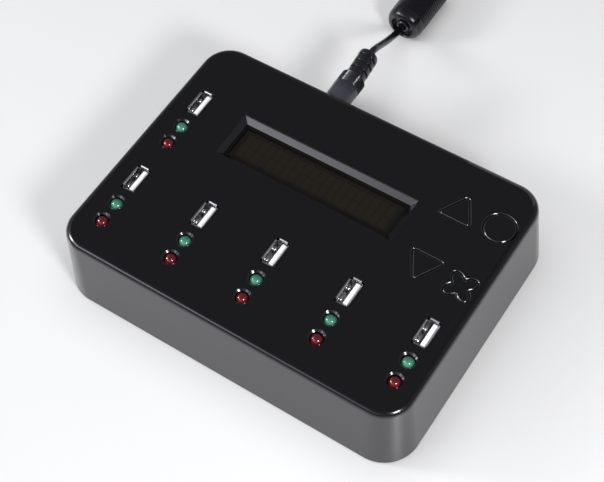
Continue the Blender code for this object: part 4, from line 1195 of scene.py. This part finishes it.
def addLamps():
    mesh = lampMesh()
    for port in portNames:
        for colour in resinRows:
            node = f"{colour}_lamp_{port}"
            addPiece(colour + "Lamp" + portLabel(port), mesh, colour, colour + "_lamp", [node], at=node)


# Keys

def keyMesh(name):
    look = keySizes
    low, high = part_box(name)
    flangeTop = innerTop - gap
    flangeLow = flangeTop - look["flangeThickness"]
    edge = look["edge"]
    levels = [(flangeLow, look["flange"]), (flangeTop, look["flange"]), (flangeTop, 0)]
    levels += [(high.z - edge * (1 - s), -edge * (1 - c)) for s, c in quarter(look["edgeSteps"])]
    loft = Loft()
    rows = loft.chain([loft.loop(keyOutline(name, grow), z) for z, grow in levels])
    loft.cap(rows[0], rows[-1])
    stem, soft = look["stem"], look["stemSoft"]
    loft.turned([(stem, flangeLow + look["stemLap"]), (stem, low.z + soft), (stem - soft, low.z)], 32)
    return loft


def addKeys():
    for name in keyNames:
        label = name.replace("_key", "Key")
        addPiece(label, keyMesh(name), "key", "key", [name], body=name, at=name)


# Display

bezelLook = {
    "sheet": 0.8 * mm,
    "lap": 1.1 * mm,
    "bend": 0.7 * mm,
    "corner": 1.2 * mm,
    "windowCorner": 0.4 * mm,
    "rim": ((0.25 * mm, 0), (0.07 * mm, 0.07 * mm), (0, 0.25 * mm)),  # growth and depth of its opening
    "glassEdge": 0.25 * mm,
}


def addDisplay():
    look = bezelLook
    low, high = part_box("display_bezel")
    halfX, halfY = (high.x - low.x) / 2, (high.y - low.y) / 2
    sheet, bend, top, bottom = look["sheet"], look["bend"], high.z, low.z
    outside = lambda inset: roundedBox(halfX - inset, halfY - inset, look["corner"] - inset * 0.5, 5)
    openX, openY = windowHalf[0] - look["lap"], windowHalf[1] - look["lap"]
    inside = lambda grow: roundedBox(openX + grow, openY + grow, look["windowCorner"] + grow, 5)
    rows = [(outside(0), bottom), (outside(0), top - bend)]
    rows += [(outside(bend * (1 - c)), top - bend * (1 - s)) for s, c in quarter(4, 1)]
    rows += [(inside(grow), top - depth) for grow, depth in look["rim"]]
    rows += [(inside(0), top - sheet), (outside(sheet), top - sheet), (outside(sheet), bottom)]
    loft = Loft()
    place = centreOf("display_bezel").xy
    loft.chain([loft.loop(outline, z, place) for outline, z in rows], closed=True)
    addPiece("displayBezel", loft, "bezel", "bezel", ["display_bezel"])
    glass = blocksMesh("displayGlass", (*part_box("display_glass"), look["glassEdge"], 2))
    addPiece("displayGlass", glass, "display", "display", ["display_glass"])


addSockets()
addLamps()
addKeys()
addDisplay()
print("sockets, lamps, keys and display made")


# Plug, ferrite core, lead and adapter

def addPlug():
    look = plugLook
    radius, edge, length = look["radius"], look["edge"], look["length"]
    wide, relief, groove = radius + look["flare"], look["reliefRadius"], look["reliefGroove"]
    bandStart = length - look["band"] - edge * 0.4
    profile = [(0, 0), *((radius - inset, z) for inset, z in look["front"]), (wide, bandStart)]
    count = look["grooveSteps"]
    for k in range(look["grooves"] * count):
        wave = (1 - math.cos(math.tau * k / count)) / 2
        z = bandStart + k * (look["band"] / look["grooves"]) / count + 0.01 * mm
        profile.append((wide - look["grooveDepth"] * wave, z))
    profile += [(wide, length - edge * 0.4), (wide - 0.3 * edge, length),
                (relief + 0.1 * mm, length + 0.5 * mm)]
    for k in range(1, look["reliefRings"]):
        z = length + k * look["reliefLength"] / look["reliefRings"]
        profile += [(relief - groove * lost, z + groove * at) for lost, at in look["reliefRing"]]
    end = length + look["reliefLength"]
    hole = end - look["leadHole"]
    profile += [(relief - inset, end - back) for inset, back in look["reliefEnd"]]
    profile += [(leadRadius, end), (leadRadius, hole), (0, hole)]
    loft = Loft()
    loft.turned(profile, 56)
    for vert in loft.bm.verts:
        share = max(0, (vert.co.z - length) / look["reliefLength"])
        vert.co.x += (reliefX - plugX) * share ** look["pull"]
    lay = alongY(plugX, seatY + gap, plugZ)
    moulding = loft.mesh("plugMoulding", 50, lay)
    plug = addPiece("plugMoulding", moulding, "plug", "plug", ["power_plug"])
    outer, bore, reach = look["sleeveRadius"], look["sleeveBore"], look["sleeveLength"]
    root, soft = look["sleeveRoot"], look["sleeveSoft"]
    profile = [(outer, root), (outer, soft - reach), (outer - soft, -reach), (bore, -reach), (bore, root)]
    sleeve = turnedMesh("plugSleeve", profile, 40, lay=lay, closed=True)
    return [plug, addPiece("plugSleeve", sleeve, "nickel", "nickel")]


ferriteSizes = {
    "radius": 8.9 * mm,
    "length": 32.0 * mm,
    "dome": 4.2 * mm,
    "domeSteps": 8,
    "endBand": 1.0 * mm,
    "ribs": 15,
    "ribDepth": 0.6 * mm,
    "rib": ((0, 0.1), (1, 0.3), (1, 0.6), (0, 0.85)),  # depth and place of the points of a groove, as shares
    "boreGap": 0.15 * mm,
    "collar": 3.2 * mm,
    "recess": 2.6 * mm,
    # the front from the bore out, by radius and depth: a collar, and a recess round it
    "boreRim": ((0, 0.7 * mm), (0.3 * mm, 0.3 * mm)),
    "collarRim": ((-0.4 * mm, 0.3 * mm), (0, 0.7 * mm), (0.1 * mm, 1.9 * mm)),
    "recessRim": ((-0.7 * mm, 2.1 * mm), (-0.3 * mm, 0.4 * mm), (0, 0.1 * mm)),
    "splitTurn": 39,  # how far the split between the halves leans, in degrees
    # half the width of a cut, its depth, its distance from the ends and its rounding
    "split": (0.225 * mm, 0.5 * mm, 2 * mm, 0.05 * mm),
    "latch": (0.75 * mm, 1.5 * mm, 1.2 * mm, 0.15 * mm),
    "latchLength": 3.2 * mm,
}


def addFerrite():
    look = ferriteSizes
    half, radius, dome, collar = look["length"] / 2, look["radius"], look["dome"], look["collar"]
    start, steps = collar + look["recess"], look["domeSteps"]
    rims = (leadRadius + look["boreGap"], "boreRim"), (collar, "collarRim"), (start, "recessRim")
    front = [(base + out, depth) for base, rim in rims for out, depth in look[rim]]
    last = front[-1][1]
    front += [(start + (radius - start) * s, dome * (1 - c) + last) for s, c in quarter(steps, 1)]
    profile = [(r, depth - half) for r, depth in front]
    ribbed = look["length"] - 2 * (dome + look["endBand"])
    step = ribbed / look["ribs"]
    middle = []
    for k in range(look["ribs"]):
        z = -ribbed / 2 + k * step
        middle += [(radius - look["ribDepth"] * deep, z + at * step) for deep, at in look["rib"]]
    profile += middle + [(r, -z) for r, z in profile[::-1]]
    lay = alongY(ferriteX, ferriteY, boreZ)
    lean = lay @ Matrix.Rotation(-math.radians(look["splitTurn"]), 4, "Z")
    cuts = []
    for side in (-1, 1):
        thin, depth, inset, soft = look["split"]
        inner, outer = sorted((side * (radius - depth), side * (radius + 1 * mm)))
        cuts.append(((inner, -thin, inset - half), (outer, thin, half - inset), soft, 1))
        wide, depth, inset, soft = look["latch"]
        inner, outer = sorted((side * (radius - depth), side * (radius + 1 * mm)))
        for end in (-1, 1):
            low, high = sorted((end * (half - inset), end * (half - inset - look["latchLength"])))
            cuts.append(((inner, -wide, low), (outer, wide, high), soft, 2))
    core = turnedMesh("ferriteCase", profile, 64, 50, lay, closed=True)
    mesh = carved("ferriteCase", core, *(blocksMesh("cut", cut, lay=lean) for cut in cuts))
    return addPiece("ferriteCase", mesh, "ferrite", "ferrite", ["ferrite_core"])


def addTie():
    # a strap round the coil, with its end lapped over
    look = leadLook
    inner = coilOuter - look["coilPitch"] * look["turnsIn"] - leadRadius
    outer = coilOuter + look["coilPitch"] * 0.5 + leadRadius
    thick = look["tieThickness"]
    halfX, halfY = (outer - inner) / 2, (look["coilPitch"] + 2 * leadRadius) / 2 + thick / 2
    corner = leadRadius + thick / 2
    ring = roundedBox(halfX, halfY, corner, 8)
    path = [(x, y) for x, y in ring] + [(x, y + thick if y > 0 else y) for x, y in ring[:12]]
    path[len(ring)] = (ring[0][0] + thick * 0.6, ring[0][1])
    angle = math.tau * look["tieTurn"]
    out = Vector((math.cos(angle), math.sin(angle), 0))
    along = Vector((-math.sin(angle), math.cos(angle), 0))
    middle = Vector((coilX, look["coilY"], 0)) + out * (inner + outer) / 2
    loft = Loft()
    place = lambda x, y, width: middle + out * x + upright * (y + halfY + thick / 2) + along * width
    loft.sheet(path, thick, place, look["tieWidth"] / 2)
    return addPiece("leadTie", loft, "jacket", "lead")


adapterSizes = {
    "corner": 4.0 * mm,
    "edge": 2.5 * mm,
    "edgeSteps": 6,
    "seam": 0.35 * mm,
    "seamDepth": 0.6,  # as a share of half its width
    "gland": 10.0 * mm,
    "glandRadius": 3.6 * mm,
    "glandEnd": 2.4 * mm,
    "glandSoft": (0.3 * mm, 0.4 * mm),
    "glandRibs": 5,
    "glandRib": ((0, 0.2 * mm), (0.1 * mm, 1.3 * mm), (0.7 * mm, 1.45 * mm), (0.75 * mm, 1.9 * mm)),
    "lap": 0.4 * mm,  # how far gland and blades reach into the case
    "bladeLength": 16.0 * mm,
    "bladeWidth": 6.3 * mm,
    "bladeThickness": 1.5 * mm,
    "bladeStep": 12.7 * mm,
    "bladeSoft": 0.45 * mm,
}


def addAdapter():
    look = adapterSizes
    low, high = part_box("power_adapter")
    right, left = high.x - look["gland"], low.x + look["bladeLength"]
    middle = Vector(((left + right) / 2, (low.y + high.y) / 2, (low.z + high.z) / 2))
    halfX, halfY, halfZ = (right - left) / 2, (high.y - low.y) / 2, (high.z - low.z) / 2
    edge, seam, lap = look["edge"], look["seam"], look["lap"]
    depth = seam * look["seamDepth"]
    levels = [(edge * (1 - c) - halfZ, edge * (1 - s)) for s, c in quarter(look["edgeSteps"])]
    upper = [(-z, inset) for z, inset in levels[::-1]]
    levels += [(-seam, 0), (-seam / 2, depth), (seam / 2, depth), (seam, 0), *upper]
    loft = Loft()
    outline = lambda inset: roundedBox(halfX - inset, halfY - inset, look["corner"] - inset, 8)
    rows = loft.chain([loft.loop(outline(inset), middle.z + z, middle.xy) for z, inset in levels])
    loft.cap(rows[0], rows[-1])
    case = addPiece("adapterCase", loft, "adapter", "adapter", ["power_adapter"])
    wide, thin, reach, count = look["glandRadius"], look["glandEnd"], look["gland"], look["glandRibs"]
    profile = [(0, -lap), (wide, -lap)]
    for k in range(count):
        share = k / count
        radius = wide + (thin - wide) * share
        profile += [(radius - inset, reach * share + z) for inset, z in look["glandRib"]]
    inset, back = look["glandSoft"]
    profile += [(thin, reach - back), (thin - inset, reach), (0, reach)]
    lay = Matrix.Translation((right, middle.y, middle.z)) @ Matrix.Rotation(math.pi / 2, 4, "Y")
    mesh = turnedMesh("adapterGland", profile, 32, 50, lay)
    gland = addPiece("adapterGland", mesh, "moulding", "adapter")
    thick, wide, z = look["bladeThickness"] / 2, look["bladeWidth"] / 2, middle.z
    pair = []
    for side in (-1, 1):
        y = middle.y + side * look["bladeStep"] / 2
        pair.append(((low.x, y - thick, z - wide), (left + lap, y + thick, z + wide), look["bladeSoft"], 3))
    blades = blocksMesh("adapterBlades", *pair)
    return [case, gland, addPiece("adapterBlades", blades, "blade", "nickel")]


lead, leadLine = addLead()
withLead = [*addPlug(), addFerrite(), addTie(), *addAdapter()]
leadLength = lengthOf(leadLine)
tuple(leadLine[0])
print(f"plug, ferrite core, adapter and {leadLength:.3f} m of lead made")


# Pieces inside, kept from the frame with a better finish

innerNodes = {
    "board": ["main_board", "display_board"],
    "chip": ["controller_chip"],
    "insulator": ["display_backlight"],
    "switch": ["display_header", "power_jack", *(name.replace("_key", "_switch") for name in keyNames)],
    "plunger": [name.replace("_key", "_plunger") for name in keyNames],
}
for finish, names in innerNodes.items():
    for name in names:
        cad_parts[name].material_slots[0].material = finishes[finish]

bpy.context.scene.view_settings.view_transform = "Standard"
print("all pieces made")
